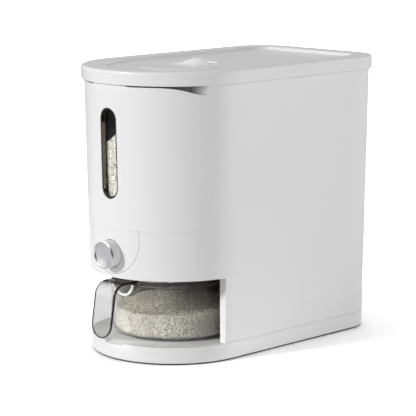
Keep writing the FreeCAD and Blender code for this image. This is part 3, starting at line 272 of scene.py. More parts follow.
def grid_faces(rows: int, columns: int, ring: bool) -> np.ndarray:
    """Quads of a grid whose columns wrap round.

    Args:
        rows: number of rows.
        columns: number of columns.
        ring: whether the last row joins the first.

    Returns:
        Point numbers, as an (n, 4) array.
    """
    index = np.arange(rows * columns).reshape(rows, columns)
    upper = index if ring else index[:-1]
    lower = np.roll(index, -1, axis=0)[:len(upper)]
    quads = [upper, np.roll(upper, -1, axis=1), np.roll(lower, -1, axis=1), lower]
    return np.stack(quads, -1).reshape(-1, 4)


def pole_fans(rows: int, columns: int) -> np.ndarray:
    """Triangles that close a grid's first and last row on two poles, numbered after its points.

    Args:
        rows: number of rows.
        columns: number of columns.

    Returns:
        Point numbers, as a (2 * columns, 3) array.
    """
    first = np.arange(columns)
    last = first + (rows - 1) * columns
    pole = rows * columns
    top = np.stack([np.roll(first, -1), first, np.full(columns, pole)], -1)
    end = np.stack([last, np.roll(last, -1), np.full(columns, pole + 1)], -1)
    return np.vstack([top, end])


class Ends(Enum):
    """How the first and the last row of a grid are closed."""

    RING = "the last row joins the first"
    POLES = "each closes on a pole at its own mean"
    SPINE = "each is folded on itself, and merging its doubles closes it"


def closed_surface(name: str, grid: np.ndarray, ends: Ends = Ends.POLES) -> bpy.types.Object:
    """Closed piece from a grid whose columns wrap round.

    The signed volume, a sixth of the sum of p0 . (p1 x p2), tells whether the faces look outwards,
    and turns them if they don't.

    Args:
        name: name of the piece.
        grid: (rows, columns, 3) array.
        ends: how the first and the last row are closed.

    Returns:
        The object.
    """
    rows, columns = grid.shape[:2]
    points = grid.reshape(-1, 3)
    faces = grid_faces(rows, columns, ends is Ends.RING)
    fans = np.zeros((0, 3), int)
    if ends is Ends.POLES:
        fans = pole_fans(rows, columns)
        points = np.vstack([points, grid[0].mean(0), grid[-1].mean(0)])
    corners = points[faces]
    triangles = np.vstack([corners[:, [0, 1, 2]], corners[:, [0, 2, 3]], points[fans]])
    volume = np.einsum("ij,ij->i", triangles[:, 0], np.cross(triangles[:, 1], triangles[:, 2])).sum()
    if volume < 0:
        faces = faces[:, ::-1]
        fans = fans[:, ::-1]
    piece = to_object(name, points, faces.tolist() + fans.tolist())
    return merged(piece) if ends is Ends.SPINE else piece


def merged(piece: bpy.types.Object, distance: float = 0.01) -> bpy.types.Object:
    """Merges a piece's close points and turns its faces outwards.

    Args:
        piece: the piece.
        distance: points closer than this, in millimetres, become one.

    Returns:
        The same piece.
    """
    work = bmesh.new()
    work.from_mesh(piece.data)
    bmesh.ops.remove_doubles(work, verts=work.verts, dist=distance * MM)
    bmesh.ops.dissolve_degenerate(work, edges=work.edges, dist=distance * MM)
    bmesh.ops.recalc_face_normals(work, faces=work.faces)
    work.to_mesh(piece.data)
    work.free()
    piece.data.shade_smooth()
    return piece


@dataclass(frozen=True)
class Slab:
    """Plate with a rounded rim, drawn flat and then bent into place.

    A column runs from a point of the plate's spine over the front face to the rim, round the rim by
    two quarter arcs, and back over the other face. Its flat place is (u, v) and its height above
    the middle is h.
    """

    edge: np.ndarray
    outward: np.ndarray
    spine: np.ndarray
    thickness: float
    rim_radius: float
    face_rows: int = 5
    arc_steps: int = 5

    def flat_grid(self) -> np.ndarray:
        """Grid of (u, v, h) with one column for each point of the edge.

        Returns:
            (rows, columns, 3) array.
        """
        half = self.thickness / 2
        inner = self.edge - self.rim_radius * self.outward
        share = 1 - (1 - np.linspace(0, 1, self.face_rows + 1)) ** 2
        face = self.spine[None] + share[:, None, None] * (inner - self.spine)[None]
        angle = np.linspace(np.pi / 2, 0, self.arc_steps + 1)[1:, None, None]
        arc = inner[None] + self.rim_radius * np.cos(angle) * self.outward[None]
        rise = half - self.rim_radius + self.rim_radius * np.sin(angle[..., 0])
        flat = np.vstack([face, arc, arc[::-1], face[::-1]])
        columns = len(self.edge)
        up = np.vstack([np.full((len(face), 1), half), rise])
        height = np.broadcast_to(np.vstack([up, -up[::-1]]), (len(flat), columns))
        return np.concatenate([flat, height[..., None]], -1)


def joined_solid(name: str, pieces: Sequence[bpy.types.Object], crease_degrees: float) -> bpy.types.Object:
    """One solid from overlapping closed pieces, which are used up.

    Args:
        name: name of the new piece.
        pieces: closed pieces; the others are added to the first.
        crease_degrees: an edge that turns by more than this stays sharp.

    Returns:
        The new object.
    """
    first = pieces[0]
    for other in pieces[1:]:
        union = first.modifiers.new("union", "BOOLEAN")
        union.operation = "UNION"
        union.solver = "EXACT"
        union.object = other
    graph = bpy.context.evaluated_depsgraph_get()
    mesh = bpy.data.meshes.new_from_object(first.evaluated_get(graph))
    mesh.name = name
    mesh.shade_smooth()
    mesh.set_sharp_from_angle(angle=math.radians(crease_degrees))
    for piece in pieces:
        bpy.data.objects.remove(piece)
    return linked(name, mesh)


# ---------------------------------------------------------------- finishes
class Slot(Enum):
    """Material slots of the part's record."""

    WHITE = "white_gloss"
    INNER = "inner_white"
    CUP = "clear_cup"
    PANE = "clear_pane"
    CHROME = "chrome_ring"
    SATIN = "satin_face"
    GREY = "grey_works"
    PALE_SEAL = "pale_seal"
    DARK_SEAL = "dark_seal"
    FOOT = "foot_rubber"
    STEEL = "steel"


class Wiring:
    """Short calls for the nodes of one tree."""

    def __init__(self, tree: bpy.types.NodeTree) -> None:
        """Starts with an empty tree."""
        self.tree = tree
        tree.nodes.clear()

    def add(self, kind: str, values: Optional[dict] = None, **settings: object) -> bpy.types.Node:
        """New node of a kind, with its settings, and with values or links for its named inputs.

        Args:
            kind: Blender's name of the node type.
            values: input name or number to a plain value or to another node's output socket.
            **settings: attributes of the node itself.

        Returns:
            The node.
        """
        node = self.tree.nodes.new(kind)
        for name, value in settings.items():
            setattr(node, name, value)
        for key, value in (values or {}).items():
            socket = node.inputs[key]
            if isinstance(value, bpy.types.NodeSocket):
                self.tree.links.new(value, socket)
            else:
                socket.default_value = value
        return node

    def maths(self, operation: str, first: object, second: object = 0.0) -> bpy.types.NodeSocket:
        """Result of one sum on two values or sockets."""
        return self.add("ShaderNodeMath", {0: first, 1: second}, operation=operation).outputs[0]

    def mix(self, share: object, first: object, second: object) -> bpy.types.NodeSocket:
        """Value between two values or sockets: the first where share is 0, the second where it is 1."""
        return self.add("ShaderNodeMix", {0: share, 2: first, 3: second}).outputs[0]

    def blend(self, share: object, first: object, second: object) -> bpy.types.NodeSocket:
        """Colour between two colours or sockets: the first where share is 0, the second where it is 1."""
        return self.add("ShaderNodeMix", {0: share, 6: first, 7: second}, data_type="RGBA").outputs[2]

    def vector(self, operation: str, values: dict) -> bpy.types.Node:
        """Node of one sum on vectors."""
        return self.add("ShaderNodeVectorMath", values, operation=operation)

    def lobe(self, ray: bpy.types.NodeSocket, aim: np.ndarray, power: float) -> bpy.types.NodeSocket:
        """Cosine between a ray and an aim, never less than zero, to a power."""
        dot = self.vector("DOT_PRODUCT", {0: ray, 1: tuple(aim)}).outputs["Value"]
        return self.maths("POWER", self.maths("MAXIMUM", dot, 0.0), power)

    def place(self) -> bpy.types.NodeSocket:
        """Object coordinates, in metres."""
        return self.add("ShaderNodeTexCoord").outputs["Object"]

    def noise(self, scale: object, detail: float) -> bpy.types.NodeSocket:
        """Noise from 0 to 1 in Object coordinates."""
        values = {"Vector": self.place(), "Scale": scale, "Detail": detail}
        return self.add("ShaderNodeTexNoise", values).outputs["Fac"]

    def bump(self, height: bpy.types.NodeSocket, strength: float, depth: float) -> bpy.types.NodeSocket:
        """Normal bent by a height from 0 to 1 that stands for a depth in millimetres."""
        values = {"Height": height, "Strength": strength, "Distance": depth * MM}
        return self.add("ShaderNodeBump", values).outputs["Normal"]

    def fresh(self, path: bpy.types.Node) -> bpy.types.NodeSocket:
        """1 for a ray that has met no matt surface since the camera, 0 for others."""
        return self.maths("LESS_THAN", path.outputs["Diffuse Depth"], 0.5)


def rgba(colour: Colour) -> tuple[float, float, float, float]:
    """Colour with full opacity."""
    return (*colour, 1.0)


def blank_material(name: str) -> tuple[bpy.types.Material, Wiring]:
    """New material with an empty tree.

    Args:
        name: name of the material.

    Returns:
        The material and its wiring.
    """
    made = bpy.data.materials.new(name)
    made.use_nodes = True
    return made, Wiring(made.node_tree)


def shared_group(name: str, inputs: dict[str, object], outputs: dict[str, str],
                 fill: Callable[[Wiring, bpy.types.Node], dict]) -> bpy.types.NodeTree:
    """Node group with named sockets.

    Args:
        name: name of the group.
        inputs: default of each input; a tuple makes it a colour and a number makes it a float.
        outputs: socket type of each output.
        fill: adds the nodes between, and gives what goes into each output.

    Returns:
        The group, built on the first call.
    """
    found = bpy.data.node_groups.get(name)
    if found:
        return found
    tree = bpy.data.node_groups.new(name, "ShaderNodeTree")
    wiring = Wiring(tree)
    for label, default in inputs.items():
        kind = COLOUR_SOCKET if isinstance(default, tuple) else NUMBER_SOCKET
        tree.interface.new_socket(label, in_out="INPUT", socket_type=kind).default_value = default
    for label, kind in outputs.items():
        tree.interface.new_socket(label, in_out="OUTPUT", socket_type=kind)
    wiring.add("NodeGroupOutput", fill(wiring, wiring.add("NodeGroupInput")))
    return tree


SKIN_DRIFT_SCALE = 9.0
SKIN_GRAIN_GLOSS = 0.12
SKIN_DRIFT_GLOSS = 0.1


def skin_nodes(wiring: Wiring, entry: bpy.types.Node) -> dict:
    """Nodes of the moulded skin: slow drift of tone and gloss, and a fine grain.

    Args:
        wiring: the group's wiring.
        entry: the group's input node.

    Returns:
        What goes into each output.
    """
    given = entry.outputs
    fine = wiring.noise(given["Grain Size"], 2.0)
    swing = wiring.maths("SUBTRACT", wiring.noise(SKIN_DRIFT_SCALE, 3.0), 0.5)
    lift = wiring.maths("ADD", 1.0, wiring.maths("MULTIPLY", swing, given["Drift"]))
    patch = wiring.maths("MULTIPLY", wiring.maths("SUBTRACT", fine, 0.5), SKIN_GRAIN_GLOSS)
    uneven = wiring.maths("ADD", patch, wiring.maths("MULTIPLY", swing, SKIN_DRIFT_GLOSS))
    return {"Color": wiring.vector("SCALE", {0: given["Tone"], "Scale": lift}).outputs[0],
            "Roughness": wiring.maths("ADD", given["Roughness"], uneven), "Height": fine}


def moulded_skin() -> bpy.types.NodeTree:
    """Skin of a moulding, as a shared group.

    Returns:
        The group, built on the first call.
    """
    given = {"Tone": (0.8, 0.8, 0.8, 1.0), "Drift": 0.02, "Roughness": 0.35, "Grain Size": 900.0}
    gives = {"Color": COLOUR_SOCKET, "Roughness": NUMBER_SOCKET, "Height": NUMBER_SOCKET}
    return shared_group("moulded_skin", given, gives, skin_nodes)


@dataclass(frozen=True)
class Coat:
    """What a piece is dressed in: a named material and the record's slot that it belongs to."""

    name: str
    slot: Optional[Slot]

    def wire(self, wiring: Wiring) -> bpy.types.NodeSocket:
        """Adds the nodes of the material and gives its shader."""
        raise NotImplementedError

    def material(self) -> bpy.types.Material:
        """Material of the coat.

        Returns:
            The material, built on the first call.
        """
        found = bpy.data.materials.get(self.name)
        if found:
            return found
        made, wiring = blank_material(self.name)
        wiring.add("ShaderNodeOutputMaterial", {"Surface": self.wire(wiring)})
        return made


@dataclass(frozen=True)
class Finish(Coat):
    """Opaque finish that starts from the moulded skin."""

    tone: Colour
    roughness: float
    drift: float = 0.02
    grain_size: float = 900.0
    grain_height: float = 0.004
    metallic: float = 0.0
    ior: float = 1.46
    grain_strength: float = 0.6

    def wire(self, wiring: Wiring) -> bpy.types.NodeSocket:
        """Adds the skin and the shader.

        Args:
            wiring: the material's wiring.

        Returns:
            The shader.
        """
        given = {"Tone": rgba(self.tone), "Drift": self.drift, "Roughness": self.roughness,
                 "Grain Size": self.grain_size}
        skin = wiring.add("ShaderNodeGroup", given, node_tree=moulded_skin()).outputs
        return wiring.add("ShaderNodeBsdfPrincipled", {
            "Base Color": skin["Color"], "Roughness": skin["Roughness"],
            "Normal": wiring.bump(skin["Height"], self.grain_strength, self.grain_height),
            "Metallic": self.metallic, "IOR": self.ior}).outputs["BSDF"]


@dataclass(frozen=True)
class ClearFinish(Coat):
    """Clear moulded plastic: refracts, lets the lamps through, and tints no light that spreads."""

    tone: Colour
    # Painted shade: the near-black tone that the clear plastic takes on at a slant.
    painted_slant_shade: Colour = (0.035, 0.032, 0.025)
    slant_shade_power: float = 1.6
    roughness: float = 0.02
    ior: float = 1.49
    shade: float = 0.92
    ripple_scale: float = 60.0
    ripple_strength: float = 0.4
    ripple_depth: float = 0.02

    def surface(self, wiring: Wiring, clear: ClearMaker) -> bpy.types.NodeSocket:
        """Shader of the whole surface, from what makes the clear plastic of a tone."""
        return clear(rgba(self.tone))

    def wire(self, wiring: Wiring) -> bpy.types.NodeSocket:
        """Adds the clear plastic, with painted shade that darkens it at a slant, and a plain tint for the
        rays of shadows.

        Args:
            wiring: the material's wiring.

        Returns:
            The shader.
        """
        path = wiring.add("ShaderNodeLightPath")
        facing = wiring.add("ShaderNodeLayerWeight", {"Blend": 0.5}).outputs["Facing"]
        # Painted shade at the edges: the tone turns near black where the surface is seen at a slant.
        rim = wiring.maths("POWER", facing, self.slant_shade_power)
        ripple = wiring.bump(wiring.noise(self.ripple_scale, 2.0), self.ripple_strength, self.ripple_depth)

        def clear(tone: object) -> bpy.types.NodeSocket:
            """Clear plastic of a tone, white to light that spreads.

            Args:
                tone: colour, or the socket that gives it.

            Returns:
                The shader.
            """
            tint = wiring.blend(wiring.fresh(path), rgba(WHITE), wiring.blend(rim, tone, rgba(self.painted_slant_shade)))
            return wiring.add("ShaderNodeBsdfPrincipled", {
                "Base Color": tint, "Roughness": self.roughness, "IOR": self.ior,
                "Transmission Weight": 1.0, "Normal": ripple}).outputs["BSDF"]

        through = wiring.add("ShaderNodeBsdfTransparent", {"Color": rgba((self.shade,) * 3)})
        return wiring.add("ShaderNodeMixShader", {
            "Fac": path.outputs["Is Shadow Ray"], 1: self.surface(wiring, clear),
            2: through.outputs["BSDF"]}).outputs["Shader"]


# The strap's painted dark edge fades in over this width.
MARK_BLUR = 0.4      # millimetres over which the strap's edge begins


def mark_nodes(wiring: Wiring, entry: bpy.types.Node) -> dict:
    """Nodes of the handle's marks: where its strap tone, painted dark edge, painted lip highlight and painted
    foot shade go.

    Ahead is 1 in front of Front. Outline is 1 there within Band of the strap's edge: beyond the half
    width less the band of |x|, or below the hub of the distance from it. Lip is 1 within Band of the
    gusset's front end, below Under. Foot is 1 below Foot Top.

    Args:
        wiring: the group's wiring.
        entry: the group's input node.

    Returns:
        What goes into each output.
    """
    given = entry.outputs
    scaled = wiring.vector("SCALE", {0: wiring.place(), "Scale": 1 / MM}).outputs[0]
    axes = wiring.add("ShaderNodeSeparateXYZ", {"Vector": scaled}).outputs
    ahead = wiring.maths("LESS_THAN", axes["Y"], given["Front"])
    below = wiring.maths("MAXIMUM", wiring.maths("SUBTRACT", given["Hub Height"], axes["Z"]), 0.0)
    reach = wiring.maths("SQRT", wiring.maths("ADD", wiring.maths("MULTIPLY", axes["X"], axes["X"]),
                                              wiring.maths("MULTIPLY", below, below)))
    inner = wiring.maths("SUBTRACT", given["Half Width"], given["Band"])
    start = wiring.maths("SUBTRACT", inner, MARK_BLUR)
    edge = wiring.add("ShaderNodeMapRange", {"Value": reach, "From Min": start, "From Max": inner},
                      interpolation_type="SMOOTHSTEP")
    off = wiring.maths("ABSOLUTE", wiring.maths("SUBTRACT", axes["Y"], given["Lip Place"]))
    near = wiring.maths("LESS_THAN", off, given["Band"])
    low = wiring.maths("LESS_THAN", axes["Z"], given["Under"])
    return {"Ahead": ahead, "Outline": wiring.maths("MULTIPLY", edge.outputs["Result"], ahead),
            "Lip": wiring.maths("MULTIPLY", near, low),
            "Foot": wiring.maths("LESS_THAN", axes["Z"], given["Foot Top"])}


@dataclass(frozen=True)
class CupFinish(ClearFinish):
    """Clear plastic of the cup: a colourless handle with a painted dark edge, painted shade along its foot,
    and a painted pale highlight on its gusset's lip.
    """

    strap_tone: Colour = (0.965, 0.965, 0.965)
    painted_edge_shade: Colour = (0.06, 0.055, 0.045)
    edge_band: float = 1.3
    lip_highlight_share: float = 0.75
    painted_lip_highlight: Colour = (0.95, 0.95, 0.94)
    painted_foot_shade: Colour = (0.16, 0.14, 0.11)
    foot_height: float = 1.6
    front_margin: float = 0.5
    under_margin: float = 1.0

    def marks(self, wiring: Wiring) -> bpy.types.Node:
        """Group of the handle's marks, with lengths in millimetres.

        Args:
            wiring: the material's wiring.

        Returns:
            The group's node.
        """
        cup = Drawer()
        hub_rise = cup.strap_half_width * math.cos(math.radians(cup.strap_lean))
        places = {"Front": AXIS_Y - cup.radius - cup.rim_proud - self.front_margin,
                  "Half Width": cup.strap_half_width, "Hub Height": cup.strap_low + hub_rise,
                  "Band": self.edge_band, "Lip Place": AXIS_Y - cup.radius - cup.gusset_length,
                  "Under": cup.top - cup.strap_thickness - self.under_margin,
                  "Foot Top": cup.bottom + self.foot_height}
        outputs = dict.fromkeys(("Ahead", "Outline", "Lip", "Foot"), NUMBER_SOCKET)
        group = shared_group("handle_marks", dict.fromkeys(places, 0.0), outputs, mark_nodes)
        return wiring.add("ShaderNodeGroup", places, node_tree=group)

    def surface(self, wiring: Wiring, clear: ClearMaker) -> bpy.types.NodeSocket:
        """Clear plastic with painted shade at its foot, a strap of its own tone with a painted dark edge, and
        a painted pale highlight on the lip.

        Args:
            wiring: the material's wiring.
            clear: makes the clear plastic of a tone.

        Returns:
            The shader.
        """
        marks = self.marks(wiring).outputs
        # Painted shade: a darker tint along the cup's foot.
        tone = wiring.blend(marks["Foot"], rgba(self.tone), rgba(self.painted_foot_shade))
        tone = wiring.blend(marks["Ahead"], tone, rgba(self.strap_tone))
        # Painted shade: a near-black edge round the strap, for the dark surroundings that the plastic would
        # show there.
        tone = wiring.blend(marks["Outline"], tone, rgba(self.painted_edge_shade))
        # Painted highlight: a pale matt patch on the gusset's front lip.
        lip = wiring.add("ShaderNodeBsdfDiffuse", {"Color": rgba(self.painted_lip_highlight)})
        return wiring.add("ShaderNodeMixShader", {
            "Fac": wiring.maths("MULTIPLY", marks["Lip"], self.lip_highlight_share), 1: clear(tone),
            2: lip.outputs["BSDF"]}).outputs["Shader"]


@dataclass(frozen=True)
class TintFinish(Coat):
    """Finish with a tone between two, from the attribute named tint."""

    first: Colour
    last: Colour
    roughness: float = 0.42
    streak_scale: float = 1400.0
    streak_strength: float = 0.5
    streak_depth: float = 0.05

    def wire(self, wiring: Wiring) -> bpy.types.NodeSocket:
        """Adds the tint, fine streaks and the shader.

        Args:
            wiring: the material's wiring.

        Returns:
            The shader.
        """
        tint = wiring.add("ShaderNodeAttribute", attribute_name="tint").outputs["Fac"]
        streaks = wiring.bump(wiring.noise(self.streak_scale, 1.0), self.streak_strength, self.streak_depth)
        return wiring.add("ShaderNodeBsdfPrincipled", {
            "Base Color": wiring.blend(tint, rgba(self.first), rgba(self.last)),
            "Roughness": self.roughness, "Normal": streaks}).outputs["BSDF"]


SHELL_WHITE = Finish("satin_white_shell", Slot.WHITE, (0.84, 0.84, 0.838), 0.34)
LID_WHITE = Finish("satin_white_lid", Slot.WHITE, (0.84, 0.84, 0.838), 0.24)
INNER_WHITE = Finish("plain_white_inside", Slot.INNER, (0.78, 0.78, 0.76), 0.45)
GREY_WORKS = Finish("grey_moulding", Slot.GREY, (0.18, 0.168, 0.14), 0.5)
CHROME = Finish("bright_chrome", Slot.CHROME, (0.66, 0.66, 0.68), 0.12, 0.01, metallic=1.0)
SATIN_METAL = Finish("satin_silver", Slot.SATIN, (0.62, 0.62, 0.63), 0.32, 0.02, metallic=1.0)
STEEL = Finish("plain_steel", Slot.STEEL, (0.60, 0.60, 0.61), 0.3, 0.05, metallic=1.0)
PALE_SEAL = Finish("pale_silicone", Slot.PALE_SEAL, (0.62, 0.62, 0.59), 0.55)
DARK_SEAL = Finish("dark_rubber", Slot.DARK_SEAL, (0.012, 0.012, 0.011), 0.5)
FOOT_RUBBER = Finish("grey_rubber", Slot.FOOT, (0.08, 0.08, 0.08), 0.65)
CUP_CLEAR = CupFinish("clear_cup_plastic", Slot.CUP, (0.93, 0.918, 0.88), shade=0.70)
PANE_CLEAR = ClearFinish("clear_pane_plastic", Slot.PANE, (0.95, 0.95, 0.93))
# Brown tone of the window strips, partly painted light for the lit lower part of the window's side.
STRIP_TONE_PAINTED_LIGHT = Finish("brown_strip_painted_light", Slot.GREY, (0.36, 0.325, 0.255), 0.35)
# Painted shade for the notch wedge: dark grey where it lies deep, white at the shell's face.
NOTCH_PAINTED_SHADE = TintFinish("notch_painted_shade", Slot.WHITE, (0.17, 0.165, 0.155), (0.84, 0.84, 0.838), 0.4)
# Painted highlight for the cap: its tone runs whiter where the crest and the rim rise.
CAP_WHITE_PAINTED_LIGHT = TintFinish("satin_white_cap_painted_light", Slot.WHITE, (0.84, 0.84, 0.838), (0.98, 0.98, 0.975), 0.26)
# Rice with a random tone for each grain; its light end is brighter than raw rice, painted light that makes up
# for light lost inside the clear cup.
RICE = TintFinish("raw_rice", None, (0.56, 0.535, 0.465), (0.95, 0.93, 0.875))
# Painted shade: a darker copy of the rice for the top of the cup's rice, in the shade under the deck.
TOP_RICE_PAINTED_SHADE = TintFinish("raw_rice_on_top_painted_shade", None, (0.26, 0.23, 0.17), (0.84, 0.80, 0.70))
# Painted shade: a darker copy of the rice for the dim tank behind the window.
TANK_RICE_PAINTED_SHADE = TintFinish("raw_rice_in_tank_painted_shade", None, (0.33, 0.315, 0.27), (0.80, 0.785, 0.74))

NODES_OF_COATS: dict[Coat, tuple[str, ...]] = {
    SHELL_WHITE: ("base_tray", "body_shell", "lower_front_cover", "button_plate", "button_sleeve",
                  "button_barrel"),
    LID_WHITE: ("lid", "round_cap"),
    INNER_WHITE: ("measuring_chamber", "drying_basket"),
    GREY_WORKS: ("push_rod", "shutter_yoke", "upper_shutter", "lower_shutter", "mechanism_deck", "hopper",
                 "drawer_rail_left", "drawer_rail_right"),
    CHROME: ("button_ring",),
    SATIN_METAL: ("button_face",),
    STEEL: ("return_spring", "base_screws", "cover_screws", "chamber_screws", "deck_screws", "rail_screws"),
    PALE_SEAL: ("neck_seal", "lid_seal", "cap_ring"),
    DARK_SEAL: ("window_gasket", "drawer_bumpers"),
    FOOT_RUBBER: ("rubber_feet",),
    CUP_CLEAR: ("drawer_cup",),
    PANE_CLEAR: ("window_pane",),
}


def dress_nodes() -> None:
    """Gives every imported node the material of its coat."""
    for coat, nodes in NODES_OF_COATS.items():
        for node in nodes:
            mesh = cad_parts[node].data
            mesh.materials.clear()
            mesh.materials.append(coat.material())


def set_tint(piece: bpy.types.Object, tint: np.ndarray) -> None:
    """Gives a piece its tint, one value for each point."""
    layer = piece.data.attributes.new("tint", "FLOAT", "POINT")
    layer.data.foreach_set("value", tint.astype(np.float32))


def settle(piece: bpy.types.Object, body: str, coat: Coat, replaced: Sequence[str] = ()) -> None:
    """Dresses a finished piece, lets it ride on its body and hides the nodes that it stands for.

    Args:
        piece: the finished piece.
        body: name of the body that it moves with.
        coat: what it is dressed in.
        replaced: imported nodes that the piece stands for.
    """
    piece.data.materials.clear()
    piece.data.materials.append(coat.material())
    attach(piece, body)
    if replaced:
        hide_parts(*replaced)
    LOG.info("%s rides on %s: %d points", piece.name, body, len(piece.data.vertices))


BODY_PLAN = Plan(radius=95.0, rear=242.0, corner=36.0, slope=math.tan(math.radians(1.12)))


# ---------------------------------------------------------------- lid
@dataclass(frozen=True)
class Lid:
    """Lift-off lid: overhanging skirt, flat border, sunk panel and the stepped seat of the round cap."""

    overhang: float = 3.098
    skirt_wall: float = 2.5
    thickness: float = 2.4
    border: float = 24.5
    sink: float = 4.0
    wall_lean: float = 0.8
    edge_radius: float = 3.0
    border_edge_radius: float = 1.3
    panel_fillet: float = 3.4
    under_reach: float = 6.0
    panel_reach: float = 7.0
    cap_y: float = 9.0
    seat_radius: float = 45.45
    bore_radius: float = 38.45
    boss_radius: float = 47.45
    seat_depth: float = 1.7
    boss_depth: float = 4.0
    seat_margin: float = 3.0
    boss_margin: float = 2.0
    rows_between: int = 6
    tab_y: float = 60.5
    tab_half_length: float = 10.0
    tab_width: float = 3.0
    tab_height: float = 1.6
    tab_sunk: float = 1.2
    tab_rim: float = 0.8

    def shell_profile(self) -> np.ndarray:
        """Profile from the panel's underside over the skirt and the border to the panel.

        Returns:
            (offset, height) places.
        """
        top = LID_TOP
        under = top - self.thickness
        panel = top - self.sink
        inner = self.overhang - self.border
        skirt_inner = self.overhang - self.skirt_wall
        foot = inner - self.wall_lean
        below = panel - self.thickness
        return rounded([
            (inner - self.under_reach, below, 0.0), (inner + self.thickness, below, 0.4),
            (inner + self.thickness, under, 0.5), (skirt_inner, under, 1.2), (skirt_inner, SKIRT_LOW, 0.5),
            (self.overhang, SKIRT_LOW, 0.7), (self.overhang, top, self.edge_radius),
            (inner, top, self.border_edge_radius), (foot, panel, self.panel_fillet),
            (foot - self.panel_reach, panel, 0.0)])

    def shell(self) -> bpy.types.Object:
        """Lid as one closed ring of rows: outline rows, rows that change into circles, and the cap's seat.

        A seat's point is the cap's centre plus its radius along the direction of its column.

        Returns:
            The piece.
        """
        outer = BODY_PLAN.loops(self.shell_profile())
        panel = LID_TOP - self.sink
        below = panel - self.thickness
        centre = np.array([0.0, self.cap_y])
        spread = unit(outer[-1, :, :2] - centre)
        seat_floor = panel - self.seat_depth
        boss_low = below - self.boss_depth
        steps = rounded([
            (self.seat_radius + self.seat_margin, panel, 0.0), (self.seat_radius, panel, 0.45),
            (self.seat_radius, seat_floor, 0.2), (self.bore_radius, seat_floor, 0.3),
            (self.bore_radius, boss_low, 0.3), (self.boss_radius, boss_low, 0.4),
            (self.boss_radius, below, 0.3), (self.boss_radius + self.boss_margin, below, 0.0)], steps=4)
        flat = centre + steps[:, :1, None] * spread[None]
        height = np.broadcast_to(steps[:, 1:, None], (*flat.shape[:2], 1))
        seat = np.concatenate([flat, height], -1)
        grid = np.vstack([outer, between(outer[-1], seat[0], self.rows_between), seat,
                          between(seat[-1], outer[0], self.rows_between)])
        return closed_surface("lid_shell", grid, Ends.RING)

    def tab(self) -> bpy.types.Object:
        """Small raised bar on the panel behind the cap.

        Returns:
            The piece.
        """
        corner = self.tab_width / 2 - 0.01
        long = self.tab_half_length
        wide = self.tab_width / 2
        edge = rounded([(-long, -wide, corner), (long, -wide, corner), (long, wide, corner),
                        (-long, wide, corner)], closed=True, steps=8, support=0.005)
        spine = np.stack([np.clip(edge[:, 0], wide - long, long - wide), np.zeros(len(edge))], -1)
        thickness = self.tab_height + self.tab_sunk
        grid = Slab(edge, unit(edge - spine), spine, thickness, self.tab_rim).flat_grid()
        middle = LID_TOP - self.sink - self.tab_sunk + thickness / 2
        points = grid + np.array([0.0, self.tab_y, middle])
        return closed_surface("lid_tab", points, Ends.SPINE)

    def build(self) -> None:
        """Makes the lid's pieces in place of the plain lid."""
        settle(self.shell(), "lid", LID_WHITE, ("lid",))
        settle(self.tab(), "lid", LID_WHITE)


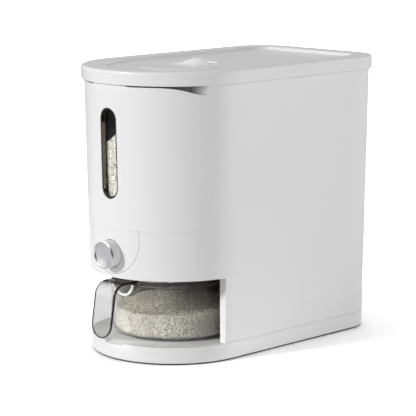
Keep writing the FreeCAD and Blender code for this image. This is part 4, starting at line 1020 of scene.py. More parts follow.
@dataclass(frozen=True)
class Cap:
    """Round cap of the drying compartment: disc with a fine rim, a finger crest and a hollow plug."""

    centre_y: float = 9.0
    radius: float = 45.0
    disc: float = 1.6
    plug_radius: float = 38.0
    plug_wall: float = 2.0
    plug_depth: float = 11.0
    groove_drop: float = 5.5
    groove_height: float = 2.4
    groove_depth: float = 0.9
    rim_radius: float = 43.3
    rim_height: float = 0.55
    rim_width: float = 0.95
    crest_height: float = 7.4
    crest_inner: float = 5.0
    crest_peak: float = 30.0
    crest_outer: float = 38.5
    crest_half_length: float = 24.5
    crest_start: float = 8.0
    # Rise at which the painted highlight reaches its whitest tone.
    painted_light_full_lift: float = 1.1
    face_hole: float = 1.5
    under_hole: float = 2.0
    rim_land: float = 0.9
    columns: int = 192

    def rise(self, x: np.ndarray, y: np.ndarray) -> np.ndarray:
        """Height of the disc's top above its flat.

        The rim is a bell curve about rim_radius. The crest is crest_height times three factors:
        along the radius r, an S-curve from crest_inner up to crest_peak and then
        (1 - u * u) ** 0.7 down to crest_outer; across x, a cosine to the power 1.5 that ends at
        crest_half_length; and along y, an S-curve that ends the crest near the cap's centre.

        Args:
            x: places across, from the cap's centre.
            y: places to the rear, from the cap's centre.

        Returns:
            Heights.
        """
        r = np.hypot(x, y)
        climb = s_curve(np.clip((r - self.crest_inner) / (self.crest_peak - self.crest_inner), 0, 1))
        fall = np.clip((r - self.crest_peak) / (self.crest_outer - self.crest_peak), 0, 1)
        fall = (1 - fall * fall) ** 0.7
        across = np.cos(np.clip(x / self.crest_half_length, -1, 1) * np.pi / 2) ** 1.5
        along = s_curve(np.clip(y / self.crest_start, 0, 1))
        rim = self.rim_height * np.exp(-((r - self.rim_radius) / self.rim_width) ** 2)
        return rim + self.crest_height * climb * fall * across * along

    def build(self) -> None:
        """Makes the cap in place of the plain one: a turned grid whose top rows rise by the formula."""
        top = LID_TOP - Lid.sink
        low = top - self.disc
        groove_top = low - self.groove_drop + self.groove_height
        plug_low = low - self.plug_depth
        groove = self.plug_radius - self.groove_depth
        bore = self.plug_radius - self.plug_wall
        land = self.radius - self.rim_land
        radii = np.concatenate([np.linspace(self.face_hole, self.crest_peak, 36),
                                np.linspace(self.crest_peak, self.crest_outer, 14)[1:],
                                np.linspace(self.crest_outer, land, 14)[1:]])
        face = np.stack([radii, np.full(len(radii), top)], -1)
        under = rounded([
            (land, top, 0.0), (self.radius, top, 0.5), (self.radius, low, 0.3),
            (self.plug_radius, low, 0.3), (self.plug_radius, groove_top, 0.1), (groove, groove_top, 0.1),
            (groove, groove_top - self.groove_height, 0.1),
            (self.plug_radius, groove_top - self.groove_height, 0.2), (self.plug_radius, plug_low, 0.6),
            (bore, plug_low, 0.5), (bore, low, 0.6), (self.under_hole, low, 0.0)], steps=4, support=0.12)
        grid = lathe(np.vstack([face, under[1:]]), self.columns)
        crown = grid[:len(radii)]
        lift = self.rise(crown[..., 0], crown[..., 1])
        crown[..., 2] += lift
        grid = grid + np.array([0.0, self.centre_y, 0.0])
        cap = closed_surface("cap_with_crest", grid)
        # Painted highlight: the crest and the rim are tinted whiter the higher they rise.
        tint = np.zeros(len(cap.data.vertices))
        tint[:lift.size] = np.clip(lift.ravel() / self.painted_light_full_lift - 0.3, 0, 1)
        set_tint(cap, tint)
        settle(cap, "cap", CAP_WHITE_PAINTED_LIGHT, ("round_cap",))


# ---------------------------------------------------------------- button
@dataclass(frozen=True)
class Button:
    """Bright ring and dished face at the front of the push button."""

    ring_width: float = 3.2
    outer_round: float = 1.75
    inner_round: float = 1.4
    setback: float = 1.2
    dish: float = 1.7
    face_gap: float = 0.05
    face_hole: float = 0.6
    columns: int = 128

    def build(self) -> None:
        """Makes the ring and the face in place of the plain ones."""
        low, high = node_box("button_ring")
        back = high[1] - AXIS_Y
        radius = high[0]
        length = high[1] - low[1]
        centre_z = (low[2] + high[2]) / 2
        inner = radius - self.ring_width
        ring = rounded([(radius, 0.0, 0.3), (radius, length, self.outer_round),
                        (inner, length, self.inner_round), (inner, 0.0, 0.2)],
                       closed=True, steps=10, support=0.05)
        turned = facing_front(lathe(ring, self.columns), back, centre_z)
        settle(closed_surface("button_bright_ring", turned, Ends.RING), "button", CHROME, ("button_ring",))
        edge = inner - self.face_gap
        rim = length - self.setback
        radii = np.linspace(self.face_hole, edge, 26)
        dish = np.stack([radii, rim - self.dish * (1 - (radii / edge) ** 2) ** 1.2], -1)
        below = np.array([[edge, rim - 0.2], [edge, 0.1], [edge - 0.1, 0.0], [self.face_hole, 0.0]])
        disc = facing_front(lathe(np.vstack([dish, below]), self.columns), back, centre_z)
        settle(closed_surface("button_dished_face", disc), "button", SATIN_METAL, ("button_face",))


# ---------------------------------------------------------------- window
@dataclass(frozen=True)
class SightStrips:
    """Two thin upright strips on each side of the window's lining, whose brown tone also stands in for the
    lit lower part of the window's side.
    """

    side_x: float = 11.2
    proud: float = 0.35
    depths: tuple[float, float] = (1.7, 3.75)
    widths: tuple[float, float] = (1.3, 1.6)
    low: float = 184.8
    # Top of the strips: their painted light ends here, and the dark gasket shows above.
    high: float = 269.0

    def strip(self, side: int, depth: float, width: float) -> np.ndarray:
        """Grid of one strip: rounded cross-sections at stepped heights, drawn in at both ends.

        A point at (x, depth) and height z lies at y = -sqrt((radius + slope * z - depth)^2 - x^2).

        Args:
            side: -1 for the left side, 1 for the right.
            depth: depth of the strip's middle behind the shell's face.
            width: width of the strip.

        Returns:
            (rows, columns, 3) array.
        """
        half = width / 2
        cross = rounded([(-half, -0.3, 0.1), (half, -0.3, 0.1), (half, self.proud, 0.15),
                         (-half, self.proud, 0.15)], closed=True, steps=3, support=0.02)
        middle = cross.mean(0)
        step = np.array([0.0, 0.1, 0.3, 0.6])
        height = np.concatenate([self.low + step, np.linspace(self.low + 1, self.high - 1, 14),
                                 self.high - step[::-1]])
        shrink = np.array([0.3, 0.6, 0.85, 1.0])
        scale = np.concatenate([shrink, np.ones(14), shrink[::-1]])[:, None, None]
        section = middle + (cross - middle)[None] * scale
        x = side * (self.side_x - section[..., 1])
        z = np.broadcast_to(height[:, None], x.shape)
        radius = BODY_PLAN.radius + BODY_PLAN.slope * z - depth + section[..., 0]
        return np.stack([x, -np.sqrt(radius ** 2 - x ** 2), z], -1)

    def build(self) -> None:
        """Makes the four strips."""
        for side, label in ((-1, "left"), (1, "right")):
            for depth, width, place in zip(self.depths, self.widths, ("front", "back")):
                strip = closed_surface(f"sight_strip_{label}_{place}", self.strip(side, depth, width))
                settle(strip, "root", STRIP_TONE_PAINTED_LIGHT)


@dataclass(frozen=True)
class NotchFade:
    """Wedge that closes the right-hand end of the finger notch under the lid.

    Its front lies in the shell's face at the notch's end and sinks to full_depth over its length. Its colour
    is painted shade, dark where it lies deep.
    """

    facing: float = 49.7
    end_angle: float = 67.4
    length: float = 17.0
    full_depth: float = 3.9
    back_depth: float = 2.7
    start_depth: float = 0.08
    least_wall: float = 0.25
    overlap: float = 0.3
    below_skirt: float = 10.8
    above_skirt: float = 1.2
    rows: int = 28

    def build(self) -> None:
        """Makes the wedge.

        A point at distance u along the notch lies at v = -sqrt(radius^2 - u^2) across it, where the
        radius is the shell's at its height less the depth. The depth follows an S-curve of the share
        of the length that is left; tint is that share's rest.
        """
        turn = math.radians(self.facing)
        reach = BODY_PLAN.radius + BODY_PLAN.slope * SKIRT_LOW
        end = reach * math.sin(math.radians(self.end_angle) - turn) + self.overlap
        share = np.linspace(0.0, 1.0, self.rows)
        depth = self.start_depth + (self.full_depth - self.start_depth) * s_curve(share)
        back = np.maximum(self.back_depth, depth + self.least_wall)
        low = SKIRT_LOW - self.below_skirt
        high = SKIRT_LOW + self.above_skirt
        z = np.array([low, low, high, high])
        inset = np.stack([back, depth, depth, back], -1)
        radius = BODY_PLAN.radius + BODY_PLAN.slope * z - inset
        u = np.broadcast_to((end - share * self.length)[:, None], radius.shape)
        v = -np.sqrt(radius ** 2 - u ** 2)
        x = u * math.cos(turn) - v * math.sin(turn)
        y = u * math.sin(turn) + v * math.cos(turn)
        wedge = closed_surface("notch_painted_shade", np.stack([x, y, np.broadcast_to(z, x.shape)], -1))
        # Painted shade: the tint runs from white at the shell's face to dark grey where the wedge is deepest.
        set_tint(wedge, np.concatenate([np.repeat(1 - share, 4), [1.0, 0.0]]))
        settle(wedge, "root", NOTCH_PAINTED_SHADE)


# ---------------------------------------------------------------- drawer
@dataclass(frozen=True)
class Drawer:
    """Clear cup with a rim, a bead, a hooked handle strap and a half-round gusset under it."""

    radius: float = 72.0
    rear: float = 75.0
    corner: float = 14.0
    centre_y: float = 1.5
    bottom: float = 20.4
    top: float = 89.8
    wall: float = 2.6
    edge_radius: float = 8.0
    floor_reach: float = -12.0
    middle_share: float = 0.1
    rim_proud: float = 1.6
    rim_height: float = 2.8
    bead_low: float = 81.8
    bead_height: float = 1.4
    bead_proud: float = 0.9
    strap_half_width: float = 16.3
    strap_thickness: float = 3.0
    strap_bend: float = 17.0
    strap_lean: float = 8.8
    strap_reach: float = 116.3
    strap_low: float = 28.3
    strap_rim: float = 1.0
    strap_root: float = 6.0
    strap_side_points: int = 72
    gusset_radius: float = 17.6
    gusset_wall: float = 3.4
    gusset_length: float = 9.0
    gusset_bite: float = 1.9
    gusset_rim: float = 1.3
    gusset_step: float = 1.2
    gusset_spine: float = 4.0
    row_step: float = 2.5

    def plan(self) -> Plan:
        """Outline of the cup."""
        return Plan(self.radius, self.rear, self.corner, centre_y=self.centre_y, front_columns=80,
                    side_columns=8, corner_columns=8, rear_columns=10)

    def vessel(self) -> bpy.types.Object:
        """Cup's walls, bottom, rim and bead: outline rows from the outer to the inner bottom.

        Returns:
            The piece.
        """
        reach = self.floor_reach
        floor = self.bottom + self.wall
        rim_low = self.top - self.rim_height
        bead_top = self.bead_low + self.bead_height
        profile = rounded([
            (reach, self.bottom, 0.0), (0.0, self.bottom, self.edge_radius), (0.0, self.bead_low, 0.4),
            (self.bead_proud, self.bead_low, 0.4), (self.bead_proud, bead_top, 0.4), (0.0, bead_top, 0.4),
            (0.0, rim_low, 0.5), (self.rim_proud, rim_low, 0.6), (self.rim_proud, self.top, 0.9),
            (-self.wall, self.top, 0.9), (-self.wall, floor, self.edge_radius - self.wall),
            (reach, floor, 0.0)], support=0.2)
        grid = self.plan().loops(with_steps(profile, self.row_step))
        centre = np.array([0.0, self.centre_y, 0.0])
        inwards = np.array([self.middle_share, self.middle_share, 1.0])
        under = (grid[0] - centre) * inwards + centre
        inside = (grid[-1] - centre) * inwards + centre
        rows = np.vstack([under[None], between(under, grid[0], 3), grid, between(grid[-1], inside, 3),
                          inside[None]])
        return closed_surface("cup_vessel", rows)

    def strap_path(self, along: np.ndarray) -> tuple[np.ndarray, np.ndarray, float]:
        """Middle line of the strap in the YZ plane: straight forwards, an arc down, straight to the tip.

        Args:
            along: lengths from the cup's wall.

        Returns:
            (y, z) places, directions that point out of the front face, and the whole length.
        """
        lean = math.radians(self.strap_lean)
        turn = math.pi / 2 - lean
        bend = self.strap_bend - self.strap_thickness / 2
        top = self.top - self.strap_thickness / 2
        down = np.array([-math.sin(lean), -math.cos(lean)])
        tip = np.array([-self.strap_reach + math.cos(lean) * self.strap_thickness / 2, self.strap_low])
        corner = tip - down * (top - tip[1]) / math.cos(lean)
        tangent = bend * math.tan(turn / 2)
        start = -(self.radius - self.wall / 2)
        first = start - (corner[0] + tangent)
        arc = bend * turn
        last = (top - tip[1]) / math.cos(lean) - tangent
        whole = first + arc + last
        angle = np.clip((along - first) / bend, 0, turn)
        over = np.maximum(along - first - arc, 0)
        straight = np.minimum(along, first)
        y = start - straight - bend * np.sin(angle) + over * down[0]
        z = top - bend * (1 - np.cos(angle)) + over * down[1]
        out = np.stack([-np.sin(angle), np.cos(angle)], -1)
        return np.stack([y, z], -1), out, whole

    def strap(self) -> bpy.types.Object:
        """Handle strap: a slab with a round tip, bent along its path.

        Flat, u runs across and v along the strap. The point at (u, v, h) is the path's place at v
        plus u along X plus h along the path's outward direction. Within the root's length it moves
        back to the round wall, by radius - sqrt(radius^2 - x^2).

        Returns:
            The piece.
        """
        _, _, whole = self.strap_path(np.zeros(1))
        wide = self.strap_half_width
        hub = whole - wide
        count = self.strap_side_points
        sides = np.linspace(0.0, hub, count)
        tip = np.linspace(0, np.pi, 41)[1:-1]
        across = np.linspace(-wide, wide, 15)[1:-1]
        edge = np.vstack([np.stack([np.full(count, wide), sides], -1),
                          np.stack([wide * np.cos(tip), hub + wide * np.sin(tip)], -1),
                          np.stack([np.full(count, -wide), sides[::-1]], -1),
                          np.stack([across, np.zeros(len(across))], -1)])
        outward = np.vstack([np.tile([1.0, 0.0], (count, 1)), np.stack([np.cos(tip), np.sin(tip)], -1),
                             np.tile([-1.0, 0.0], (count, 1)), np.tile([0.0, -1.0], (len(across), 1))])
        outward[0] = (1.0, -1.0)
        outward[2 * count + len(tip) - 1] = (-1.0, -1.0)
        spine = np.stack([np.zeros(len(edge)), np.clip(edge[:, 1], self.strap_root, hub)], -1)
        grid = Slab(edge, outward, spine, self.strap_thickness, self.strap_rim).flat_grid()
        x, along, rise = grid.reshape(-1, 3).T
        place, out, _ = self.strap_path(along)
        bow = self.radius - self.wall / 2
        root = np.clip(1 - along / self.strap_root, 0, 1)
        fit = root * (bow - np.sqrt(bow * bow - x * x))
        points = np.stack([x, place[:, 0] + out[:, 0] * rise + fit, place[:, 1] + out[:, 1] * rise], -1)
        return closed_surface("cup_strap", points.reshape(grid.shape), Ends.SPINE)

    def gusset(self) -> bpy.types.Object:
        """Half-round gusset: a slab rolled about the strap's line, open at the top and the front.

        Flat, u is the length round from straight down and v the place along Y. The point at (u, v, h)
        lies at radius middle + h from the line, at the angle u / middle.

        Returns:
            The piece.
        """
        middle = self.gusset_radius - self.gusset_wall / 2
        half = middle * math.pi / 2
        front = -self.radius - self.gusset_length
        back = self.gusset_bite - self.radius
        edge = rounded([(-half, front, 1.2), (half, front, 1.2), (half, back, 0.3), (-half, back, 0.3)],
                       closed=True, steps=4, support=0.3)
        edge = with_steps(np.vstack([edge, edge[:1]]), self.gusset_step)[:-1]
        ends = half - self.gusset_spine
        spine = np.stack([np.clip(edge[:, 0], -ends, ends), np.full(len(edge), (front + back) / 2)], -1)
        ahead = np.roll(edge, -1, axis=0) - np.roll(edge, 1, axis=0)
        outward = unit(np.stack([ahead[:, 1], -ahead[:, 0]], -1))
        grid = Slab(edge, outward, spine, self.gusset_wall, self.gusset_rim).flat_grid()
        angle = grid[..., 0] / middle
        radius = middle + grid[..., 2]
        line = self.top - self.strap_thickness / 2
        points = np.stack([radius * np.sin(angle), grid[..., 1], line - radius * np.cos(angle)], -1)
        return closed_surface("cup_gusset", points, Ends.SPINE)

    def build(self) -> None:
        """Makes the cup in place of the plain one, as one solid."""
        cup = joined_solid("clear_cup", [self.vessel(), self.strap(), self.gusset()], 50.0)
        settle(cup, "drawer", CUP_CLEAR, ("drawer_cup",))


# ---------------------------------------------------------------- grain
@dataclass(frozen=True)
class Grain:
    """Grain of rice: two five-sided rings between two points."""

    length: float = 3.3
    width: float = 1.55
    depth: float = 1.35
    sides: int = 5
    sizes: tuple[float, float] = (0.85, 1.1)
    tint_shape: tuple[float, float] = (2.6, 1.6)

    def template(self) -> tuple[np.ndarray, list]:
        """One grain about its own centre, its length along X.

        The rings lie at a quarter of the length from the middle, with the whole width and depth.

        Returns:
            (n, 3) points, and the rings' quads and the ends' triangles.
        """
        n = self.sides
        tips = np.array([[self.length / 2, 0, 0], [-self.length / 2, 0, 0]])
        middle = np.array([[self.length / 4], [-self.length / 4]])
        around = np.linspace(0, 2 * np.pi, n, endpoint=False)
        rings = np.stack([np.broadcast_to(middle, (2, n)),
                          np.broadcast_to(self.width / 2 * np.cos(around), (2, n)),
                          np.broadcast_to(self.depth / 2 * np.sin(around), (2, n))], -1)
        faces = [grid_faces(2, n, False)[:, ::-1], pole_fans(2, n)[:, ::-1]]
        return np.vstack([rings.reshape(-1, 3), tips]), faces

    def scatter(self, name: str, places: np.ndarray, normals: np.ndarray, tilt: float,
                seed: int) -> bpy.types.Object:
        """Piece of many grains, each lying on the surface given by its place and normal.

        A grain's length lies along a random direction of the surface, tipped towards the normal by a
        random angle of up to tilt radians. Point = place + template turned into that frame.

        Args:
            name: name of the piece.
            places: (n, 3) centres of the grains.
            normals: (n, 3) unit normals of the surface.
            tilt: largest tip of a grain.
            seed: seed of the random draws.

        Returns:
            The object, with a point attribute named tint.
        """
        draw = np.random.default_rng(seed)
        count = len(places)
        loose = draw.normal(size=(count, 3))
        flat = unit(loose - np.einsum("ij,ij->i", loose, normals)[:, None] * normals)
        tip = draw.uniform(-tilt, tilt, count)[:, None]
        along = flat * np.cos(tip) + normals * np.sin(tip)
        up = normals * np.cos(tip) - flat * np.sin(tip)
        turn = np.stack([along, np.cross(up, along), up], 1)
        size = draw.uniform(*self.sizes, (count, 1, 1))
        shape, kinds = self.template()
        points = places[:, None] + np.einsum("vk,nkj->nvj", shape, turn) * size
        step = np.arange(count)[:, None, None] * len(shape)
        faces = [face for kind in kinds for face in (kind[None] + step).reshape(-1, kind.shape[1]).tolist()]
        piece = to_object(name, points.reshape(-1, 3), faces)
        set_tint(piece, np.repeat(draw.beta(*self.tint_shape, count), len(shape)))
        return piece


@dataclass(frozen=True)
class CupRice:
    """Rice in the drawer: a core, and grains on its top and against the clear wall."""

    drawer: Drawer
    grain: Grain = Grain()
    level: float = 50.0
    clearance: float = 0.15
    top_grains: int = 7600
    wall_grains: int = 6800
    core_inset: float = 2.6
    core_drop: float = 1.6
    core_middle: float = 0.2
    core_rows: int = 16
    top_layer: tuple[float, float] = (-1.6, 0.2)
    top_inset: float = 1.2
    top_margin: float = 1.0
    top_unevenness: float = 0.25
    top_tilt: float = 0.45
    wall_layer: float = 1.3
    wall_tilt: float = 0.12
    seed: int = 7

    def top_height(self, x: np.ndarray, y: np.ndarray) -> np.ndarray:
        """Level plus a mound of 2.2 mm about (-6, -4) and ripples of 0.6 mm."""
        mound = 2.2 * np.exp(-((x + 6) ** 2 + (y + 4) ** 2) / 1500.0)
        return self.level + mound + 0.6 * np.sin(x / 11.0 + 1.0) * np.cos(y / 13.0)

    def wall_profile(self, along: np.ndarray) -> tuple[np.ndarray, np.ndarray]:
        """Inner face of the cup's wall: a quarter arc from the floor, then straight up.

        Args:
            along: lengths along the profile, from the foot of the arc.

        Returns:
            (offset, height) places and unit normals that point out of the cup.
        """
        wall = self.drawer.wall
        arc = self.drawer.edge_radius - wall
        low = self.drawer.bottom + wall + arc
        angle = np.clip(along / arc - np.pi / 2, -np.pi / 2, 0)
        normal = np.stack([np.cos(angle), np.sin(angle)], -1)
        over = np.maximum(along - arc * np.pi / 2, 0)
        return np.stack([np.full(len(along), -wall - arc), low + over], -1) + arc * normal, normal

    def reach(self) -> float:
        """Length of the wall's profile up to the rice's level."""
        arc = (self.drawer.edge_radius - self.drawer.wall) * np.pi / 2
        return arc + self.level - self.drawer.bottom - self.drawer.edge_radius

    def core(self) -> None:
        """Makes the core: rows inside the wall's inner face, then rows to the middle of the top."""
        along = np.linspace(0.0, self.reach() - self.core_drop, self.core_rows)
        place, normal = self.wall_profile(along)
        rows = self.drawer.plan().loops(place - self.core_inset * normal)
        centre = np.array([0.0, self.drawer.centre_y, 0.0])
        top = between(rows[-1], np.broadcast_to(centre + [0, 0, self.level], rows[-1].shape), 9)
        top[..., 2] = self.top_height(top[..., 0], top[..., 1]) - self.core_drop
        below = (rows[0] - centre) * np.array([self.core_middle, self.core_middle, 1.0]) + centre
        settle(closed_surface("cup_rice_core", np.vstack([below[None], rows, top])), "drawer", RICE)

    def top(self, draw: np.random.Generator) -> None:
        """Makes the grains on the top, where a place's distance from the centre is under the outline's.

        Args:
            draw: source of the random draws.
        """
        cup = self.drawer
        loop = cup.plan().loops(np.array([[-cup.wall - self.top_inset, 0.0]]))[0, :, :2]
        trial = draw.uniform([-cup.radius, -cup.radius], [cup.radius, cup.rear], (self.top_grains * 2, 2))
        inner = loop - np.array([0.0, cup.centre_y])
        bearing = np.arctan2(inner[:, 1], inner[:, 0])
        order = np.argsort(bearing)
        limit = np.interp(np.arctan2(trial[:, 1] - cup.centre_y, trial[:, 0]), bearing[order],
                          np.linalg.norm(inner, axis=1)[order], period=2 * np.pi)
        distance = np.hypot(trial[:, 0], trial[:, 1] - cup.centre_y)
        kept = trial[distance < limit - self.top_margin][:self.top_grains]
        layer = draw.uniform(*self.top_layer, len(kept))
        places = np.column_stack([kept, self.top_height(kept[:, 0], kept[:, 1]) + layer])
        normals = unit(draw.normal(0, self.top_unevenness, (len(kept), 3)) + np.array([0, 0, 1.0]))
        piece = self.grain.scatter("cup_rice_top", places, normals, self.top_tilt, self.seed + 1)
        settle(piece, "drawer", TOP_RICE_PAINTED_SHADE)

    def wall(self, draw: np.random.Generator) -> None:
        """Makes the grains against the clear wall, at random places of the outline and the profile.

        Args:
            draw: source of the random draws.
        """
        base, normal = self.drawer.plan().columns()
        column = draw.integers(0, len(base), self.wall_grains)
        ahead = (column + 1) % len(base)
        share = draw.uniform(0, 1, (self.wall_grains, 1))
        foot = base[column] * (1 - share) + base[ahead] * share
        out = unit(normal[column] * (1 - share) + normal[ahead] * share)
        skin, lean = self.wall_profile(draw.uniform(1.0, self.reach() + 0.4, self.wall_grains))
        inwards = self.grain.depth / 2 + self.clearance + draw.uniform(0, self.wall_layer, self.wall_grains)
        skin = skin - inwards[:, None] * lean
        places = np.column_stack([foot + skin[:, :1] * out, skin[:, 1]])
        normals = np.column_stack([lean[:, :1] * out, lean[:, 1]])
        piece = self.grain.scatter("cup_rice_wall", places, normals, self.wall_tilt, self.seed + 2)
        settle(piece, "drawer", RICE)

    def build(self) -> None:
        """Makes the core and the two sets of grains."""
        draw = np.random.default_rng(self.seed)
        self.core()
        self.top(draw)
        self.wall(draw)


@dataclass(frozen=True)
class HopperRice:
    """Rice in the tank: a bed over the sloping floor, and grains behind the window's pane."""

    grain: Grain = Grain()
    level: float = 252.0
    slope_rise: float = 7.0
    slope_run: float = 9.0
    bed_offset: float = -11.2
    bed_rear: float = 150.0
    bed_corner: float = 36.0
    bed_under_window: float = 5.0
    bed_under_level: float = 8.0
    bed_drop: float = 2.0
    bed_rows: int = 8
    funnel_low: float = 150.0
    funnel_height: float = 60.0
    funnel_least: float = 0.3
    middle_y: float = 20.0
    front_offset: float = -8.0
    front_layer: float = 1.8
    front_tilt: float = 0.15
    grains: int = 2600
    half_width: float = 11.9
    window_low: float = 184.6
    seed: int = 31

    def top_height(self, x: np.ndarray) -> np.ndarray:
        """Level that climbs from left to right behind the window as a hyperbolic tangent."""
        return self.level + self.slope_rise * np.tanh(x / self.slope_run)

    def bed(self) -> None:
        """Makes the bed: outline rows whose rear half grows with their height, then rows to a middle."""
        heights = np.linspace(self.window_low - self.bed_under_window, self.level - self.bed_under_level,
                              self.bed_rows)
        shape = Plan(BODY_PLAN.radius, self.bed_rear, self.bed_corner, BODY_PLAN.slope)
        rows = shape.loops(np.stack([np.full(self.bed_rows, self.bed_offset), heights], -1))
        scale = np.clip((heights - self.funnel_low) / self.funnel_height, self.funnel_least, 1.0)[:, None]
        rows[..., 1] = np.where(rows[..., 1] > 0, rows[..., 1] * scale, rows[..., 1])
        centre = np.array([0.0, self.middle_y, 0.0])
        top = between(rows[-1], np.broadcast_to(centre, rows[-1].shape), 10)
        top[..., 2] = self.top_height(top[..., 0]) - self.bed_drop
        settle(closed_surface("hopper_rice_bed", np.vstack([rows, top])), "root", TANK_RICE_PAINTED_SHADE)

    def front(self) -> None:
        """Makes the grains that show through the window, kept inside its rounded lower end.

        A grain at x lies at y = -sqrt(radius^2 - x^2), with the radius of its height and layer.
        """
        draw = np.random.default_rng(self.seed)
        x = draw.uniform(-self.half_width, self.half_width, self.grains)
        z = self.window_low + (self.top_height(x) - self.window_low) * draw.uniform(0, 1, self.grains)
        drop = np.minimum(z - self.window_low - self.half_width, 0.0)
        inside = np.hypot(x, drop) < self.half_width
        x = x[inside]
        z = z[inside]
        radius = BODY_PLAN.radius + self.front_offset + BODY_PLAN.slope * z
        radius = radius - draw.uniform(0, self.front_layer, len(x))
        y = -np.sqrt(radius ** 2 - x ** 2)
        normals = np.column_stack([x / radius, y / radius, np.zeros(len(x))])
        piece = self.grain.scatter("hopper_rice_front", np.column_stack([x, y, z]), normals,
                                   self.front_tilt, self.seed + 1)
        settle(piece, "root", TANK_RICE_PAINTED_SHADE)

    def build(self) -> None:
        """Makes the bed and the grains in the window."""
        self.bed()
        self.front()


# ---------------------------------------------------------------- studio
@dataclass(frozen=True)
class Beam:
    """Part of the room that is brighter about one heading: level * cosine ** power."""

    azimuth: float
    elevation: float
    level: float
    power: float


def heading(azimuth: float, elevation: float) -> np.ndarray:
    """Unit vector towards an azimuth and an elevation: (sin a cos e, -cos a cos e, sin e).

    Args:
        azimuth: degrees round from the front, 90 towards +X.
        elevation: degrees above the floor.

    Returns:
        The vector.
    """
    a = math.radians(azimuth)
    e = math.radians(elevation)
    return np.array([math.sin(a) * math.cos(e), -math.cos(a) * math.cos(e), math.sin(e)])


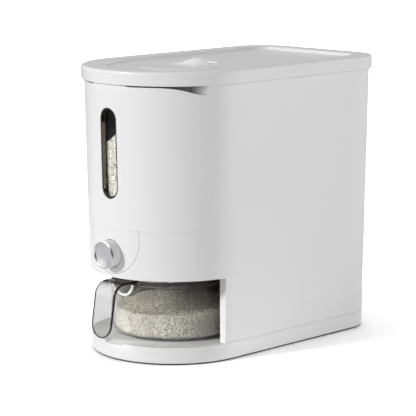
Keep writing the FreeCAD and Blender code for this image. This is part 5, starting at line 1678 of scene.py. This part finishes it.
@dataclass(frozen=True)
class Studio:
    """Pale floor, soft light from the front left and the right rear, and the camera."""

    eye: tuple[float, float, float] = (1.5519, -1.5454, 0.5374)
    azimuth: float = 45.365
    elevation: float = 9.957
    roll: float = 0.198
    lens: float = 164.16
    sensor_width: float = 36.0
    far: float = 200.0
    floor_half: float = 30.0
    floor_tone: float = 0.80
    floor_to_camera: float = 2.65
    floor_to_glass: float = 1.4
    floor_dark: float = 0.25
    bright_spot: tuple[float, float] = (-0.45, -0.55)
    bright_reach: float = 1.1
    side_gain: float = 0.5
    side_azimuth: float = 80.0
    contact_reach: float = 0.16
    key_azimuth: float = -18.0
    key_elevation: float = 23.0
    key_strength: float = 2.03
    key_angle: float = 6.5
    horizon_level: float = 0.744
    glows: tuple[Beam, ...] = (Beam(150.0, 12.0, 6.1, 20.0),)
    metal_level: float = 0.064
    metal_panels: tuple[Beam, ...] = (Beam(225.0, 10.0, 0.43, 3.0), Beam(-50.0, 50.0, 2.16, 2.2))
    glass_level: float = 0.096
    glass_panels: tuple[Beam, ...] = (Beam(-35.0, 40.0, 0.8, 6.0),)

    def camera(self) -> None:
        """Camera that looks against the heading of its azimuth and elevation, turned by the roll."""
        back = heading(self.azimuth, self.elevation)
        a = math.radians(self.azimuth)
        right = np.array([math.cos(a), math.sin(a), 0.0])
        up = np.cross(back, right)
        roll = math.radians(self.roll)
        own_x = right * math.cos(roll) - up * math.sin(roll)
        own_y = right * math.sin(roll) + up * math.cos(roll)
        data = bpy.data.cameras.new("camera")
        data.lens = self.lens
        data.sensor_width = self.sensor_width
        data.clip_end = self.far
        camera = linked("camera", data)
        pose = np.eye(4)
        pose[:3] = np.column_stack([own_x, own_y, back, self.eye])
        camera.matrix_world = Matrix(pose.tolist())
        bpy.context.scene.camera = camera

    def floor(self) -> None:
        """Large floor: a pale matt tone, brighter to the right, for light that spreads from it.

        Metal and glass see a bright patch of it at the front left, and a dark floor around that.

        To the camera it darkens where the object stands close, by the share of the room that is
        open within contact_reach.
        """
        half = self.floor_half
        corners = [(-half, -half, 0.0), (half, -half, 0.0), (half, half, 0.0), (-half, half, 0.0)]
        mesh = bpy.data.meshes.new("studio_floor")
        mesh.from_pydata(corners, [], [(0, 1, 2, 3)])
        made, wiring = blank_material("studio_floor")
        place = wiring.place()
        path = wiring.add("ShaderNodeLightPath")
        bend = wiring.maths("MAXIMUM", path.outputs["Is Glossy Ray"], path.outputs["Is Transmission Ray"])
        off = wiring.vector("DISTANCE", {0: place, 1: (*self.bright_spot, 0.0)}).outputs["Value"]
        nearness = wiring.add("ShaderNodeMapRange", {
            "Value": off, "From Min": self.bright_reach, "From Max": self.bright_reach / 2,
            "To Min": self.floor_dark, "To Max": self.floor_to_glass}, interpolation_type="SMOOTHSTEP")
        aim = wiring.vector("NORMALIZE", {0: place}).outputs["Vector"]
        lobe = wiring.lobe(aim, heading(self.side_azimuth, 0.0), 2.0)
        gain = wiring.maths("MULTIPLY", lobe, self.side_gain * self.floor_tone)
        # Painted contact shadow: to the camera the floor darkens by the share of the room that the object
        # closes off within contact_reach.
        open_share = wiring.add("ShaderNodeAmbientOcclusion", {"Distance": self.contact_reach}, samples=8)
        level = wiring.mix(wiring.maths("MULTIPLY", bend, wiring.fresh(path)),
                           wiring.maths("ADD", self.floor_tone, gain), nearness.outputs["Result"])
        level = wiring.mix(path.outputs["Is Camera Ray"], level,
                           wiring.maths("MULTIPLY", open_share.outputs["AO"], self.floor_to_camera))
        tone = wiring.add("ShaderNodeCombineColor", {"Red": level, "Green": level, "Blue": level})
        shader = wiring.add("ShaderNodeBsdfDiffuse", {"Color": tone.outputs["Color"]})
        wiring.add("ShaderNodeOutputMaterial", {"Surface": shader.outputs["BSDF"]})
        mesh.materials.append(made)
        linked("studio_floor", mesh)

    def sun(self) -> None:
        """Key light from the front left."""
        data = bpy.data.lights.new("key_light", "SUN")
        data.energy = self.key_strength
        data.angle = math.radians(self.key_angle)
        light = linked("key_light", data)
        back = heading(self.key_azimuth, self.key_elevation)
        light.rotation_euler = Vector(back.tolist()).to_track_quat("Z", "Y").to_euler()

    @staticmethod
    def with_beams(wiring: Wiring, ray: bpy.types.NodeSocket, level: object,
                   beams: Sequence[Beam]) -> bpy.types.NodeSocket:
        """Level plus every beam's share along a ray.

        Args:
            wiring: wiring of the room.
            ray: direction that is looked along.
            level: level without the beams.
            beams: the beams.

        Returns:
            The level with the beams.
        """
        for beam in beams:
            lobe = wiring.lobe(ray, heading(beam.azimuth, beam.elevation), beam.power)
            level = wiring.maths("ADD", level, wiring.maths("MULTIPLY", lobe, beam.level))
        return level

    def world(self) -> None:
        """Room light: brighter near the horizon with a glow at the right rear, white to the camera.

        Diffuse rays see horizon_level * (1 - height) plus the glow. Metal and glass see rooms of
        their own with bright and dark panels.
        """
        world = bpy.data.worlds.new("studio_room")
        world.use_nodes = True
        bpy.context.scene.world = world
        wiring = Wiring(world.node_tree)
        ray = wiring.add("ShaderNodeTexCoord").outputs["Generated"]
        height = wiring.add("ShaderNodeSeparateXYZ", {"Vector": ray}).outputs["Z"]
        fade = wiring.maths("SUBTRACT", 1.0, wiring.maths("MAXIMUM", height, 0.0))
        soft = self.with_beams(wiring, ray, wiring.maths("MULTIPLY", fade, self.horizon_level), self.glows)
        metal = self.with_beams(wiring, ray, self.metal_level, self.metal_panels)
        glass = self.with_beams(wiring, ray, self.glass_level, self.glass_panels)
        path = wiring.add("ShaderNodeLightPath")
        fresh = wiring.fresh(path)
        level = wiring.mix(wiring.maths("MULTIPLY", path.outputs["Is Glossy Ray"], fresh), soft, metal)
        level = wiring.mix(wiring.maths("MULTIPLY", path.outputs["Is Transmission Ray"], fresh), level, glass)
        level = wiring.mix(path.outputs["Is Camera Ray"], level, 1.0)
        background = wiring.add("ShaderNodeBackground", {"Color": rgba(WHITE), "Strength": level})
        wiring.add("ShaderNodeOutputWorld", {"Surface": background.outputs["Background"]})

    def build(self) -> None:
        """Sets up camera, floor, lamp and room."""
        bpy.context.scene.view_settings.view_transform = "Standard"
        self.camera()
        self.floor()
        self.sun()
        self.world()


def main() -> None:
    """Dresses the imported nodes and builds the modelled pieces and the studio."""
    logging.basicConfig(level=logging.INFO, format="%(name)s: %(message)s")
    dress_nodes()
    Lid().build()
    Cap().build()
    Button().build()
    SightStrips().build()
    NotchFade().build()
    drawer = Drawer()
    drawer.build()
    CupRice(drawer).build()
    HopperRice().build()
    Studio().build()


if __name__ == "__main__":
    main()
